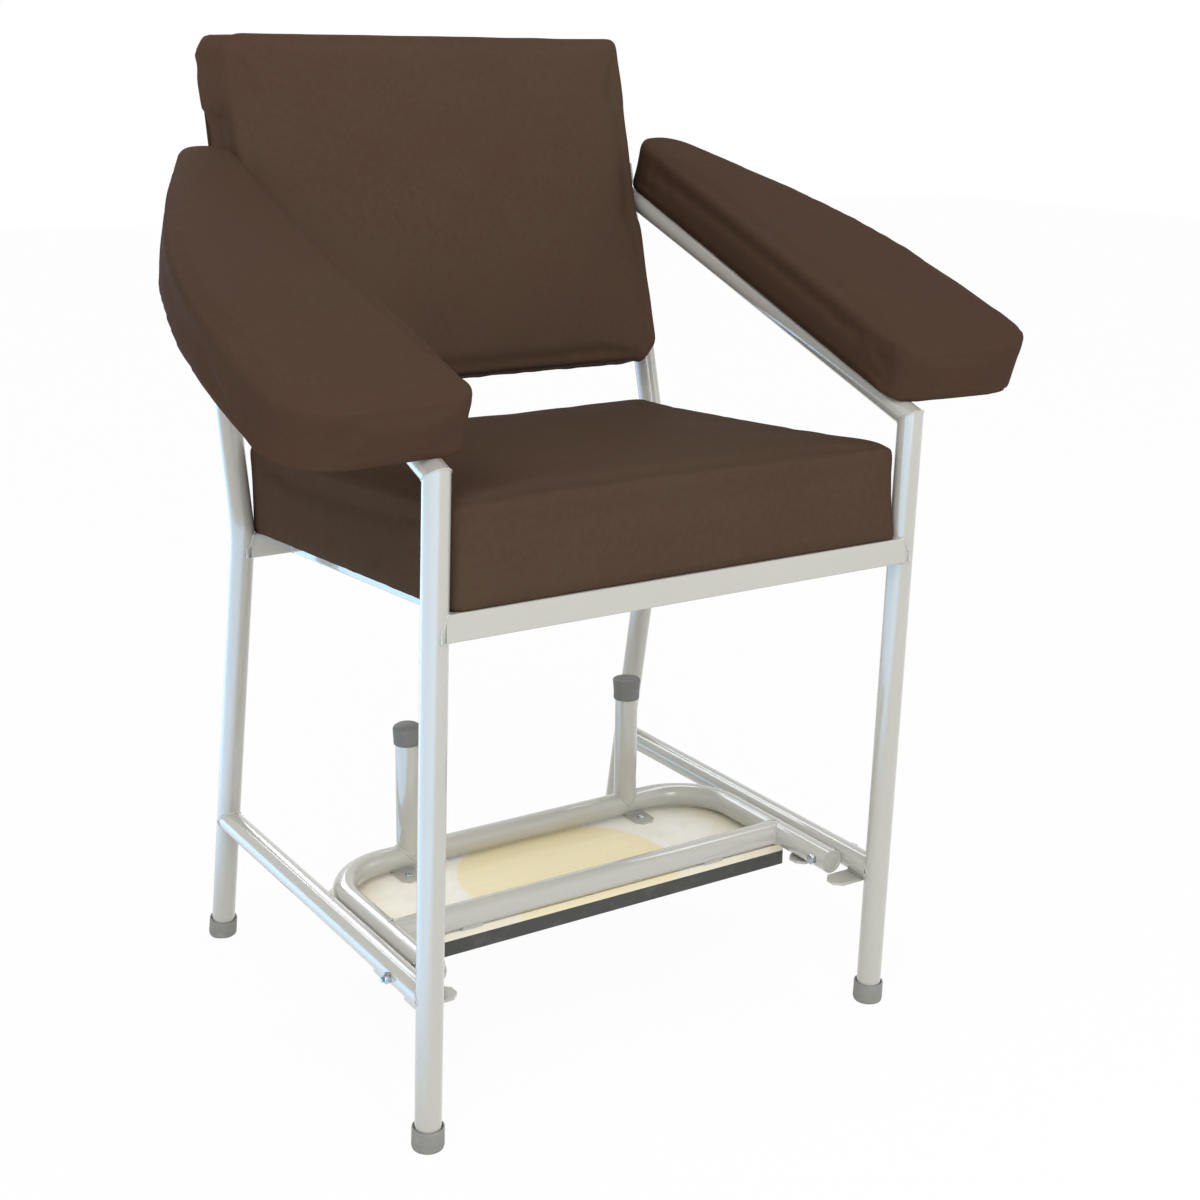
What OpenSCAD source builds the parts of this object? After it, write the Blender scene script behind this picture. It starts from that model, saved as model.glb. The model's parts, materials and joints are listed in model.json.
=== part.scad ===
// Phlebotomy chair: a welded tube frame with a padded seat, back and arm
// pads, and a footrest that flips over from under the seat to the front.
// Millimetres. X runs to the right seen from the front, the front faces -Y,
// Z is up, and the origin is on the floor under the middle of the chair.

/* [Frame tube] */
// Outside diameter of the round tube
tube_od = 25.4; // [22:0.2:28]
// Wall of the round and square tubes
tube_wall = 1.5; // [1:0.1:2]

/* [Legs] */
// Distance between the left and right leg centres
leg_span = 530; // [500:2:560]
// Distance on the floor between the front and rear foot centres
foot_depth = 501.5; // [480:0.5:520]
// How far the middle of the feet lies behind the origin
feet_setback = 13.5; // [5:0.5:40]
// Forward lean of the front legs, in degrees
front_lean = 2.25; // [1:0.25:4]
// Forward lean of the rear legs, in degrees
rear_lean = 10.9; // [9:0.1:12]
// Height at which the rear tubes bend back
bend_height = 492; // [480:1:510]
// Centreline radius of that bend
bend_radius = 90; // [70:1:120]
// Recline of the uprights, in degrees
back_recline = 14; // [11:0.5:16]
// Height of the lower side rails and of the footrest pivot
pivot_height = 149.5; // [145:0.5:165]
// Length of upright above the joint with the arm rail
upright_over = 26; // [22:1:34]

/* [Leg tips] */
// Outside diameter of a rubber tip
tip_od = 31; // [30:0.5:36]
// Outside diameter of a rubber tip at its mouth
tip_mouth_od = 30.4; // [28.6:0.2:31]
// Height of a rubber tip along its leg
tip_height = 22; // [18:1:34]
// Thickness of rubber under the end of the tube
tip_floor = 5.5; // [5:0.5:8]
// Chamfer round the rim of a tip
tip_chamfer = 2; // [0.5:0.1:3]
// Diameter of the domed plug in the top of an upright
plug_od = 25.4; // [22:0.2:28]
// Height of the dome of that plug
plug_dome = 5; // [3:0.5:8]
// Length of plug inside the tube
plug_depth = 14; // [8:1:20]

/* [Seat frame] */
// Height of the front seat rail's centre
seat_front_height = 503; // [495:1:515]
// Slope of the seat, down to the rear, in degrees
seat_tilt = 3.25; // [2:0.25:4]
// Width of the square seat rails
seat_rail = 25.4; // [22:0.2:28]
// Radius on the edges of the square rails
seat_rail_edge = 2; // [1:0.5:4]
// Distance from a leg centre to the side rail's centre
side_rail_inset = 62.7; // [50:1:80]

/* [Seat] */
// Gap between the seat cushion and the legs on each side
cushion_side_gap = 0.8; // [0.5:0.1:3]
// How far the cushion's front lies behind the front rail's face
cushion_front_setback = 3; // [1:0.5:8]
// How far the cushion runs past the rear rail's centre
cushion_rear_over = 9; // [4:1:14]
// Thickness of the seat cushion at its edge
seat_thickness = 93; // [80:1:110]
// Height of the seat's crown
seat_crown = 9; // [4:1:16]
// Radius of the seat cushion's corners
seat_corner = 10; // [9:1:24]
// How far the seat cushion's sides are drawn in between the corners
seat_side_draw = 4; // [0:0.5:8]
// Thickness of the plywood seat, back and arm boards
board_thickness = 12; // [9:1:15]
// Margin of cushion outside the seat and arm boards
board_margin = 9; // [6:1:14]
// Rounding of the upholstery's edges
edge_round = 8; // [5:0.5:9]
// How far the upholstery's sides are drawn in at mid-height
side_draw = 1.5; // [0:0.5:3]
// Distance of the seat screws from the rail ends
seat_screw_inset = 70; // [50:5:110]

/* [Back] */
// Height of the back cushion along the uprights
back_height = 379; // [330:1:400]
// Gap along the uprights between the seat's surface and the back cushion
back_gap = 44; // [38:0.5:66]
// Gap at mid-height between the back cushion's sides and the uprights
back_side_gap = 7.3; // [6:0.1:20]
// Thickness of the back cushion at its edge
back_thickness = 42; // [38:1:60]
// Height of the back's crown
back_crown = 8; // [3:1:14]
// Radius of the back cushion's corners
back_corner = 12; // [11:1:24]
// How far the back cushion's sides are drawn in between the corners
back_side_draw = 8; // [6.5:0.5:9]
// How far the back cushion's sides run in towards its front face
back_front_draw = 7; // [0:0.5:10]
// Margin of cushion outside the back board
back_board_margin = 16; // [15:1:22]
// Distance along the uprights from the cushion's foot to the lower rail
back_rail_inset = 48; // [35:1:70]
// Distance between the two back rails, along the uprights
back_rail_pitch = 133.5; // [110:0.5:134]
// Distance of the back screws from the middle
back_screw_x = 150; // [100:5:190]

/* [Arms] */
// Height at which the arm rail meets the front leg
arm_front_height = 638; // [620:1:660]
// Rise of the arm rails to the rear, in degrees
arm_slope = 20.5; // [17:0.5:23]
// Width of an arm pad
pad_width = 184; // [165:1:190]
// Thickness of an arm pad at its edge
pad_thickness = 54; // [44:1:60]
// Height of an arm pad's crown
pad_crown = 5; // [2:1:8]
// Radius of a pad's front corner on the sitter's side
pad_inner_corner = 24; // [20:1:40]
// Radius of a pad's front corner on the outer side
pad_front_corner = 55; // [40:1:70]
// Radius of the corners at a pad's rear end
pad_rear_corner = 28; // [20:1:28]
// Width of a pad at its rear end
pad_rear_width = 57; // [57:1:70]
// Length of the nearly straight front stretch of a pad's outer edge
pad_belly_front = 180; // [140:5:240]
// Length of the nearly straight rear stretch of that edge
pad_belly_rear = 230; // [200:5:280]
// Angle at which that edge runs in to the rear end, in degrees
pad_rear_turn = 30; // [22:0.5:32]
// How far a pad's front lies behind the joint of rail and leg
pad_front_set = 6; // [4:0.5:9]
// Distance from a pad's rear end to the upright's axis, along the arm rail
pad_rear_set = 5.5; // [4:0.5:40]
// How far a pad reaches inboard of its rail's centre
pad_inboard = 17; // [8:1:22]
// How far a pad's sides run in from its top edge to its foot
pad_foot_draw = 7; // [0:0.5:9]
// Turn of the pads' front ends towards the sitter, in degrees
pad_toe_in = 2.2; // [2:0.1:2.5]
// Width of the steel plates that carry the pads
pad_plate_width = 40; // [30:1:60]
// Thickness of those plates
pad_plate_thickness = 4; // [3:0.5:5]
// Reach of those plates from the rail's centre
pad_plate_reach = 104; // [80:1:115]
// Corner cut on those plates
plate_corner = 6; // [2:1:12]
// Distance of the front plate behind the joint of rail and leg
plate_front = 117; // [90:1:130]
// Distance of the rear plate ahead of the rail's joint with the upright
plate_rear_set = 226.5; // [211.5:0.5:261.5]
// Distance of a plate's outer screw from its free end
plate_screw_edge = 14; // [10:1:20]
// Distance of a plate's inner screw from the rail's centre
plate_screw_inner = 34; // [28:1:45]

/* [Footrest] */
// Distance of the pivot behind the front leg's centre
pivot_setback = 57; // [54:1:65]
// Distance from the pivot to the centre of the loop's back tube
loop_reach = 231; // [215:1:245]
// Centreline radius of the loop's corners
loop_radius = 70; // [50:1:90]
// Distance from the pivot to the centre of the cross tube
cross_reach = 78; // [70:1:95]
// How far the board reaches past the cross tube's centre, towards the pivot
tread_lap = 3; // [0:0.5:6]
// Length of arm past the pivot
arm_tail = 16; // [14:0.5:19]
// Depth of the disc inside the end of an arm
end_recess = 1; // [0.5:0.1:2]
// Thickness of that disc
end_thickness = 2; // [1:0.2:4]
// Distance between the two posts
post_spacing = 277; // [240:1:300]
// Height of a post's rubber tip
post_tip_height = 23; // [18:1:34]
// Height of the dome on the end of that tip
post_tip_dome = 4; // [2:0.5:5]
// Diameter of a post's rubber tip
post_tip_od = 30.5; // [29:0.5:34]
// Distance of the footrest board's ends inside the outer sides of the loop
tread_end_set = 2.8; // [1.8:0.1:30]
// Depth of the footrest board, front to rear
tread_depth = 164; // [150:1:172]
// Thickness of the plywood board
ply_thickness = 8; // [6:0.5:10]
// Thickness of the rubber tread under the plywood
tread_thickness = 15.8; // [10:0.2:20]
// Radius of the board's corners nearest the pivot
tread_corner = 5; // [4:1:14]
// Radius of the board's corners under the loop's bends
tread_corner_far = 48; // [30:1:60]
// Width of a tread groove
groove_width = 3; // [2:0.5:4]
// Depth of a tread groove
groove_depth = 1.6; // [1:0.2:3]
// Plain margin of the tread before its first groove
groove_margin = 12; // [8:1:18]
// Plain margin of the tread at the ends of its grooves
groove_end = 24; // [20:1:40]
// Number of tread grooves
groove_count = 9; // [5:1:13]

/* [Footrest fittings] */
// Width of a lug that holds the board to the tubes
lug_width = 24; // [18:1:30]
// Reach of a lug from the tube's centre
lug_reach = 34; // [28:1:40]
// Corner cut on a lug
lug_corner = 6; // [2:0.5:9]
// Thickness of a lug
lug_thickness = 2.5; // [2:0.1:4]
// Distance between the left and right lugs
lug_spacing = 296; // [270:2:320]
// Distance from the tube's centre to the lug's screw
lug_screw_reach = 19.5; // [18:0.5:23]
// Width of a stop tab along its rail
tab_length = 25; // [20:1:26]
// Thickness of a stop tab
tab_thickness = 3; // [2:0.5:4]
// Reach of a stop tab inboard of the side rail's centre
tab_reach = 40; // [34:1:44]
// Reach of a stop tab outboard of the side rail's centre
tab_heel = 6; // [4:0.5:9]
// Corner cut on the inner end of a stop tab
tab_chamfer = 7; // [3:0.5:10]
// Half width of the weld that joins a tab or lug to its tube
weld_half = 5; // [3:0.5:6]
// Extra room between the arm ends and the rear tabs
tab_rear_extra = 3; // [0:0.5:6]

/* [Fasteners] */
// Diameter of the pivot bolts
bolt_d = 6; // [5:0.5:8]
// Width across flats of the bolt heads and nuts
hex_width = 10; // [9:0.5:13]
// Height of a bolt head
head_height = 4; // [3:0.5:6]
// Height of a lock nut
nut_height = 5.5; // [4:0.5:8]
// Length of bolt that stands out of the nut
thread_over = 3; // [2:0.5:5]
// Diameter of the washers on the pivot bolts
washer_d = 14; // [12:0.5:18]
// Thickness of those washers
washer_thickness = 1.2; // [0.8:0.1:2]
// Outside diameter of the sleeve through each footrest arm
sleeve_d = 10; // [9:0.5:12]
// Diameter of the screws into the seat, back and arm boards
screw_d = 5; // [4:0.5:6]
// Depth of those screws in a board
screw_bite = 9; // [6:0.5:11]
// Diameter of the footrest screws
small_screw_d = 4; // [3:0.5:5]
// Depth of the footrest screws in the plywood
small_bite = 6; // [4:0.5:7]

/* [Clearances] */
// Gap on the diameter between the pivot bolts and their sleeves
pivot_fit = 0.1; // [0.04:0.02:0.18]
// Gap on the diameter round a fixed screw, bolt or plug
fixed_fit = 0.1; // [0.04:0.02:0.3]
// Gap between the footrest and what it swings past or rests on
run_gap = 0.3; // [0.25:0.05:0.5]
// Gap at a welded joint, filled by the weld
weld_gap = 0.05; // [0:0.01:0.1]
// Room between the swinging arm ends and the stop tabs
tab_room = 1.5; // [1:0.1:3]

/* [Hidden] */
$fn = 64;

// Finishes
enamel = [0.88, 0.89, 0.88];
vinyl = [0.31, 0.24, 0.20];
rubber = [0.42, 0.42, 0.41];
tread_grey = [0.29, 0.31, 0.30];
plywood = [0.87, 0.82, 0.68];
zinc = [0.72, 0.74, 0.76];

// One overrun serves every cut
cut = tube_od;
tube_bore = tube_od - 2 * tube_wall;
tube_r = tube_od / 2;

// A bent tube is a touch thicker in its bend, and its straight parts lap into it
bend_swell = 0.1;
bend_lap = 1;

// A tube that butts another stops this far short of the other's axis
cope_share = 0.2;
cope = cope_share * tube_od;

// Feet and legs
leg_x = leg_span / 2;
front_foot_y = feet_setback - foot_depth / 2;
rear_foot_y = feet_setback + foot_depth / 2;
function front_leg_y(z) = front_foot_y - z * tan(front_lean);
function rear_leg_y(z) = rear_foot_y - z * tan(rear_lean);
bend_y = rear_leg_y(bend_height);
bend_angle = rear_lean + back_recline;
bend_run = bend_radius * tan(bend_angle / 2);
lower_run = bend_height / cos(rear_lean) - bend_run;

// Arm rails run from a corner on the front leg to the upright's axis
arm_front_y = front_leg_y(arm_front_height);
arm_rear_y = (bend_y + tan(back_recline)
    * (arm_front_height - tan(arm_slope) * arm_front_y - bend_height))
    / (1 - tan(back_recline) * tan(arm_slope));
arm_rear_height = arm_front_height + tan(arm_slope) * (arm_rear_y - arm_front_y);
arm_pitch = (arm_rear_y - arm_front_y) / cos(arm_slope);
arm_joint = (arm_rear_height - bend_height) / cos(back_recline);
upright_top = arm_joint + upright_over;
mitre_angle = (arm_slope + front_lean - 90) / 2;

// The seat frame is flat and slopes from the front legs to the rear legs
seat_front_y = front_leg_y(seat_front_height);
seat_rear_y = (rear_foot_y - tan(rear_lean)
    * (seat_front_height + tan(seat_tilt) * seat_front_y))
    / (1 - tan(rear_lean) * tan(seat_tilt));
seat_pitch = (seat_rear_y - seat_front_y) / cos(seat_tilt);
side_rail_x = leg_x - side_rail_inset;
seat_width = leg_span - tube_od - 2 * cushion_side_gap;
seat_start = cushion_front_setback - seat_rail / 2;
seat_depth = seat_pitch + cushion_rear_over - seat_start;

back_width = leg_span - tube_od - 2 * (back_side_gap - back_side_draw);

// Along the uprights from the bend: the level of the seat's surface, the back cushion
// and the back rails
seat_top_on_upright = (seat_rail / 2 + seat_thickness
    - (bend_height - seat_front_height) * cos(seat_tilt)
    - (bend_y - seat_front_y) * sin(seat_tilt)) / cos(back_recline - seat_tilt);
back_start = seat_top_on_upright + back_gap;
back_lower = back_start + back_rail_inset;
back_upper = back_lower + back_rail_pitch;

// Length of a pad, and its middle along its rail from the corner
pad_length = arm_pitch - pad_front_set - pad_rear_set;
pad_mid = pad_front_set + pad_length / 2;
plate_rear = arm_pitch - plate_rear_set;

// Footrest, folded away under the seat
pivot_y = front_leg_y(pivot_height) + pivot_setback;
footrest_arm_x = leg_x - tube_od - washer_thickness - run_gap;
tread_length = 2 * (footrest_arm_x + tube_r - tread_end_set);
loop_y = pivot_y + loop_reach;
cross_y = pivot_y + cross_reach;
tail_y = pivot_y - arm_tail;
loop_bottom = pivot_height - tube_r;
ply_top = loop_bottom - lug_thickness;
tread_top = ply_top - ply_thickness;
tread_start = cross_y - tread_lap;
post_x = post_spacing / 2;
post_tip_top = 2 * pivot_height - run_gap;
tab_top = loop_bottom - run_gap;
tab_near = arm_tail + tab_room;

// Screw heads follow their shanks
head_d_share = 2;
head_share = 0.6;

// Height shares of a crown, from the edge to the middle
crown_shares = [0.84, 0.66, 0.46, 0.24];

// Places a part on the left, -1, or on the right, 1
module at_side(side) {
    if (side > 0) children();
    else mirror([1, 0, 0]) children();
}

module both_sides() {
    at_side(1) children();
    at_side(-1) children();
}

// Seat frame: Y rearwards from the front rail's centre, Z square to the seat
module on_seat_frame() {
    translate([0, seat_front_y, seat_front_height]) rotate([-seat_tilt, 0, 0]) children();
}

// Uprights: Z along them from the bend, -Y towards the sitter
module on_upright() {
    translate([0, bend_y, bend_height]) rotate([-back_recline, 0, 0]) children();
}

// Right arm rail: Y along it from the corner, Z square to it
module on_arm_rail() {
    translate([leg_x, arm_front_y, arm_front_height]) rotate([arm_slope, 0, 0]) children();
}

// Right pad: X outwards from its inner edge, Y along it from its front
module on_arm_pad() {
    on_arm_rail() translate([0, pad_mid, tube_r]) rotate([0, 0, -pad_toe_in])
        translate([-pad_inboard, -pad_length / 2, 0]) children();
}

// A rod along +X or +Y
module rod_x(d, h) {
    rotate([0, 90, 0]) cylinder(d = d, h = h);
}

module rod_y(d, h) {
    rotate([-90, 0, 0]) cylinder(d = d, h = h);
}

// Solid round body of the right front leg, of any diameter
module front_leg_body(d, over) {
    translate([leg_x, front_foot_y, 0]) rotate([front_lean, 0, 0])
        translate([0, 0, tip_floor - over]) cylinder(d = d, h = arm_front_height + cut);
}

// Solid round bend in the XY plane about the origin, from the X axis towards Y
module bend(radius, angle, d) {
    rotate_extrude(angle = angle) translate([radius, 0]) circle(d = d + bend_swell);
}

// Solid round body of the right rear leg and upright, with its bend
module rear_leg_body(d, over) {
    translate([leg_x, rear_foot_y, 0]) rotate([rear_lean, 0, 0]) {
        translate([0, 0, tip_floor - over])
            cylinder(d = d, h = lower_run + bend_lap - tip_floor + over);
        translate([0, bend_radius, lower_run]) rotate([90, 0, -90])
            bend(bend_radius, bend_angle, d);
    }
    translate([leg_x, 0, 0]) on_upright() translate([0, 0, bend_run - bend_lap])
        cylinder(d = d, h = upright_top - bend_run + bend_lap + over);
}

// What a rail that butts both legs of a pair is coped against
module front_leg_copes() {
    both_sides() front_leg_body(tube_od + 2 * weld_gap, 0);
}

module rear_leg_copes() {
    both_sides() rear_leg_body(tube_od + 2 * weld_gap, 0);
}

// The space above or below the mitre between front leg and arm rail
module mitre_half(above) {
    size = 2 * (leg_span + arm_pitch);
    translate([leg_x, arm_front_y, arm_front_height]) rotate([mitre_angle, 0, 0])
        translate([-size / 2, -size / 2, above ? 0 : -size]) cube(size);
}

module front_leg(side) {
    color(enamel) at_side(side) difference() {
        intersection() {
            front_leg_body(tube_od, 0);
            mitre_half(false);
        }
        front_leg_body(tube_bore, cut);
    }
}

module rear_leg(side) {
    color(enamel) at_side(side) difference() {
        rear_leg_body(tube_od, 0);
        rear_leg_body(tube_bore, cut);
    }
}

// Lower side rail, with the holes for the footrest's bolt
module lower_rail(side) {
    color(enamel) at_side(side) {
        front_end = front_leg_y(pivot_height) + cope;
        rear_end = rear_leg_y(pivot_height) - cope;
        difference() {
            lower_rail_body(tube_od, front_end, rear_end);
            lower_rail_body(tube_bore, front_end - cut, rear_end + cut);
            front_leg_body(tube_od + 2 * weld_gap, 0);
            rear_leg_body(tube_od + 2 * weld_gap, 0);
            translate([leg_x - cut, pivot_y, pivot_height])
                rod_x(bolt_d + fixed_fit, 2 * cut);
        }
    }
}

module lower_rail_body(d, from_y, to_y) {
    translate([leg_x, from_y, pivot_height]) rod_y(d, to_y - from_y);
}

// Outline of the square tube, with its rounded edges
module square_outline(w, r) {
    square([w - 2 * r, w], center = true);
    square([w, w - 2 * r], center = true);
    for (x = [-1, 1], y = [-1, 1])
        translate([x * (w / 2 - r), y * (w / 2 - r)]) circle(r = r);
}

module square_tube(h) {
    difference() {
        linear_extrude(h) square_outline(seat_rail, seat_rail_edge);
        translate([0, 0, -cut]) linear_extrude(h + 2 * cut)
            square_outline(seat_rail - 2 * tube_wall, seat_rail_edge / 2);
    }
}

// Seat rail from leg to leg, at a distance behind the front rail's centre
module seat_cross_rail(y) {
    half = leg_x - cope;
    on_seat_frame() translate([-half, y, 0]) rotate([0, 90, 0]) square_tube(2 * half);
}

module seat_front_rail() {
    color(enamel) difference() {
        seat_cross_rail(0);
        front_leg_copes();
    }
}

module seat_rear_rail() {
    color(enamel) difference() {
        seat_cross_rail(seat_pitch);
        rear_leg_copes();
    }
}

module seat_side_rail(side) {
    color(enamel) at_side(side) on_seat_frame() difference() {
        translate([side_rail_x, seat_rail / 2, 0]) rotate([-90, 0, 0])
            square_tube(seat_pitch - seat_rail);
        seat_screw_holes(screw_d + fixed_fit, 2 * cut, -cut);
    }
}

// The places of the seat screws on the right, in the seat frame
module at_seat_screws() {
    for (y = [seat_screw_inset, seat_pitch - seat_screw_inset])
        translate([side_rail_x, y, 0]) children();
}

module seat_screw_holes(d, h, z) {
    at_seat_screws() translate([0, 0, z]) cylinder(d = d, h = h);
}

module arm_rail_body(d, over) {
    on_arm_rail() translate([0, -cut - over, 0]) rod_y(d, arm_pitch - cope + cut + 2 * over);
}

module arm_rail(side) {
    color(enamel) at_side(side) difference() {
        intersection() {
            arm_rail_body(tube_od, 0);
            mitre_half(true);
        }
        arm_rail_body(tube_bore, cut);
        rear_leg_body(tube_od + 2 * weld_gap, 0);
    }
}

// The pad screws that go up through the right plates
module at_plate_screws() {
    on_arm_rail() for (y = [plate_front, plate_rear],
        x = [plate_screw_inner, pad_plate_reach - plate_screw_edge])
        translate([x, y, 0]) children();
}

// Flat steel plates, welded to the outer side of the arm rail, flush with its top
module arm_pad_plates(side) {
    color(enamel) at_side(side) difference() {
        on_arm_rail() for (y = [plate_front, plate_rear])
            translate([0, y, tube_r - pad_plate_thickness]) linear_extrude(pad_plate_thickness)
                plate_outline(cope, pad_plate_reach, pad_plate_width, plate_corner);
        arm_rail_body(tube_od + 2 * weld_gap, cut);
        at_plate_screws() translate([0, 0, -cut]) cylinder(d = screw_d + fixed_fit, h = 2 * cut);
    }
}

// A strip along X from one place to another, with its two far corners cut
module plate_outline(from, to, width, corner) {
    polygon([
        [from, -width / 2], [to - corner, -width / 2], [to, corner - width / 2],
        [to, width / 2 - corner], [to - corner, width / 2], [from, width / 2]
    ]);
}

// Weld between a plate and the round tube over it: a bar along Y that stands on
// the plate and reaches up to the tube's flanks, for a tube a gap above it
module weld_bar(length, gap) {
    height = gap + tube_r - sqrt(pow(tube_r, 2) - pow(weld_half, 2));
    translate([-weld_half, -length / 2, 0]) cube([2 * weld_half, length, height]);
}

// Round rail between the uprights, at a distance from the bend
module back_rail(z) {
    half = leg_x - cope;
    color(enamel) difference() {
        on_upright() translate([-half, 0, z]) rod_x(tube_od, 2 * half);
        on_upright() translate([-half - cut, 0, z]) rod_x(tube_bore, 2 * (half + cut));
        rear_leg_copes();
        at_back_screws() rotate([90, 0, 0]) translate([0, 0, -cut])
            cylinder(d = screw_d + fixed_fit, h = 2 * cut);
    }
}

module back_lower_rail() {
    back_rail(back_lower);
}

module back_upper_rail() {
    back_rail(back_upper);
}

module at_back_screws() {
    on_upright() for (x = [-back_screw_x, back_screw_x], z = [back_lower, back_upper])
        translate([x, 0, z]) children();
}

// Stop tab: a steel plate welded under the right lower side rail, reaching in
// under the footrest's arm
module stop_tab(y) {
    difference() {
        translate([leg_x, y, tab_top]) {
            translate([0, 0, -tab_thickness]) mirror([1, 0, 0]) linear_extrude(tab_thickness)
                plate_outline(-tab_heel, tab_reach, tab_length, tab_chamfer);
            weld_bar(tab_length, run_gap);
        }
        translate([leg_x, y - cut, pivot_height]) rod_y(tube_od + 2 * weld_gap, 2 * cut);
        front_leg_body(tube_od + 2 * weld_gap, 0);
    }
}

module front_stop_tabs() {
    color(enamel) both_sides() stop_tab(pivot_y - tab_near - tab_length / 2);
}

module rear_stop_tabs() {
    color(enamel) both_sides() stop_tab(pivot_y + tab_near + tab_rear_extra + tab_length / 2);
}

// Rubber tip round the end of a tube, its mouth above it, from the profile of
// its underside
module rubber_tip(height, d, underside) {
    bore_r = (tube_od + fixed_fit) / 2;
    mouth_r = tip_mouth_od / 2;
    lip = (mouth_r - bore_r) / 4;
    rotate_extrude() polygon(concat(underside, [
        [mouth_r, height - lip], [mouth_r - lip, height], [bore_r, height],
        [bore_r, tip_floor], [0, tip_floor]
    ]));
}

// Tips of a pair of legs, cut flat where they stand
module leg_tips(foot_y, lean) {
    color(rubber) both_sides() difference() {
        translate([leg_x, foot_y, 0]) rotate([lean, 0, 0])
            rubber_tip(tip_height, tip_od, [
                [0, -tip_floor], [tip_od / 2 - tip_floor - tip_chamfer, -tip_floor],
                [tip_od / 2, tip_chamfer]
            ]);
        translate([leg_x - tip_od, foot_y - tip_od, -2 * tip_od]) cube(2 * tip_od);
    }
}

module front_leg_tips() {
    leg_tips(front_foot_y, front_lean);
}

module rear_leg_tips() {
    leg_tips(rear_foot_y, rear_lean);
}

// Domed plugs in the tops of the uprights
module upright_plugs() {
    steps = 6;
    dome = [for (i = [0 : steps]) [plug_od / 2 * cos(90 * i / steps), plug_dome * sin(90 * i / steps)]];
    stem_r = (tube_bore - fixed_fit) / 2;
    color(rubber) both_sides() translate([leg_x, 0, 0]) on_upright() translate([0, 0, upright_top])
        rotate_extrude() polygon(concat(dome, [[0, -plug_depth], [stem_r, -plug_depth], [stem_r, 0]]));
}

// Outlines of soft parts, each a ring of points counted anticlockwise
function arc(cx, cy, r, a0, a1, n) =
    [for (i = [0 : n]) let (a = a0 + (a1 - a0) * i / n) [cx + r * cos(a), cy + r * sin(a)]];

function bezier(p0, p1, p2, p3, n) =
    [for (i = [1 : n - 1]) let (t = i / n, u = 1 - t)
        u * u * u * p0 + 3 * u * u * t * p1 + 3 * u * t * t * p2 + t * t * t * p3];

// n points at equal steps between two others
function between(p0, p1, n) = [for (i = [1 : n]) p0 + (p1 - p0) * i / (n + 1)];

// Unit vector into the ring at point i
function inward(ring, i) =
    let (n = len(ring), along = ring[(i + 1) % n] - ring[(i + n - 1) % n])
    [-along[1], along[0]] / norm(along);

function inset_ring(ring, by) =
    [for (i = [0 : len(ring) - 1]) ring[i] + by * inward(ring, i)];

// Rectangle with rounded corners, its sides drawn in between the corners
function cushion_ring(w, d, r, draw) =
    let (raw = concat(
            arc(w - r, r, r, -90, 0, 5), between([w, r], [w, d - r], 7),
            arc(w - r, d - r, r, 0, 90, 5), between([w - r, d], [r, d], 7),
            arc(r, d - r, r, 90, 180, 5), between([0, d - r], [0, r], 7),
            arc(r, r, r, 180, 270, 5), between([r, 0], [w - r, 0], 7)))
    [for (p = raw) let (u = 2 * p[0] / w - 1, v = 2 * p[1] / d - 1)
        [p[0] - draw * sign(u) * pow(abs(u), 3) * (1 - v * v),
            p[1] - draw * sign(v) * pow(abs(v), 3) * (1 - u * u)]];

// Arm pad: straight inner edge, bellied outer edge and a narrow rear end
function pad_ring(w, l) =
    let (r = pad_rear_corner, turn = pad_rear_turn, inner = pad_inner_corner,
        front = pad_front_corner, c = [pad_rear_width - r, l - r],
        end = c + r * [cos(turn), sin(turn)])
    concat(
        arc(inner, inner, inner, 180, 270, 6),
        between([inner, 0], [w - front, 0], 3),
        arc(w - front, front, front, -90, 0, 7),
        bezier([w, front], [w, front + pad_belly_front],
            end + pad_belly_rear * [sin(turn), -cos(turn)], end, 14),
        arc(c[0], c[1], r, turn, 90, 4),
        arc(r, c[1], r, 90 + 90 / 5, 180, 4),
        between([0, c[1]], [0, inner], 13));

// A padded form on a ring: flat below, sides drawn in at mid-height, a rounded
// edge and a crowned top, in triangles. Its foot may be drawn in all round, and
// its width may be drawn in towards the top
module padded_form(ring, thickness, crown, foot, top_draw) {
    n = len(ring);
    low = [for (k = [0, 1]) min([for (p = ring) p[k]])];
    high = [for (k = [0, 1]) max([for (p = ring) p[k]])];
    mid = (low + high) / 2;
    bevel = 1 - sin(45);
    sides = [
        [edge_round / 2, 0], [0, edge_round / 2], [side_draw, thickness / 2],
        [0, thickness - edge_round],
        [edge_round * bevel, thickness - edge_round * bevel], [edge_round, thickness]
    ];
    narrow = 2 * top_draw / (high[0] - low[0]);
    side_rings = [for (s = sides) let (h = s[1] / thickness)
        [for (p = inset_ring(ring, s[0] + foot * (1 - h)))
            [mid[0] + (p[0] - mid[0]) * (1 - narrow * h), p[1], s[1]]]];
    top = side_rings[len(sides) - 1];
    top_rings = [for (s = crown_shares) [for (p = top)
        [mid[0] + s * (p[0] - mid[0]), mid[1] + s * (p[1] - mid[1]),
            thickness + crown * (1 - s * s)]]];
    rings = concat(side_rings, top_rings);
    last = len(rings) - 1;
    points = concat([for (r = rings) each r],
        [[mid[0], mid[1], 0], [mid[0], mid[1], thickness + crown]]);
    faces = concat(
        [for (k = [0 : last - 1], i = [0 : n - 1]) let (j = (i + 1) % n)
            [k * n + i, (k + 1) * n + i, (k + 1) * n + j]],
        [for (k = [0 : last - 1], i = [0 : n - 1]) let (j = (i + 1) % n)
            [k * n + i, (k + 1) * n + j, k * n + j]],
        [for (i = [0 : n - 1]) [(last + 1) * n, i, (i + 1) % n]],
        [for (i = [0 : n - 1]) [(last + 1) * n + 1, last * n + (i + 1) % n, last * n + i]]);
    polyhedron(points, faces);
}

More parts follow.
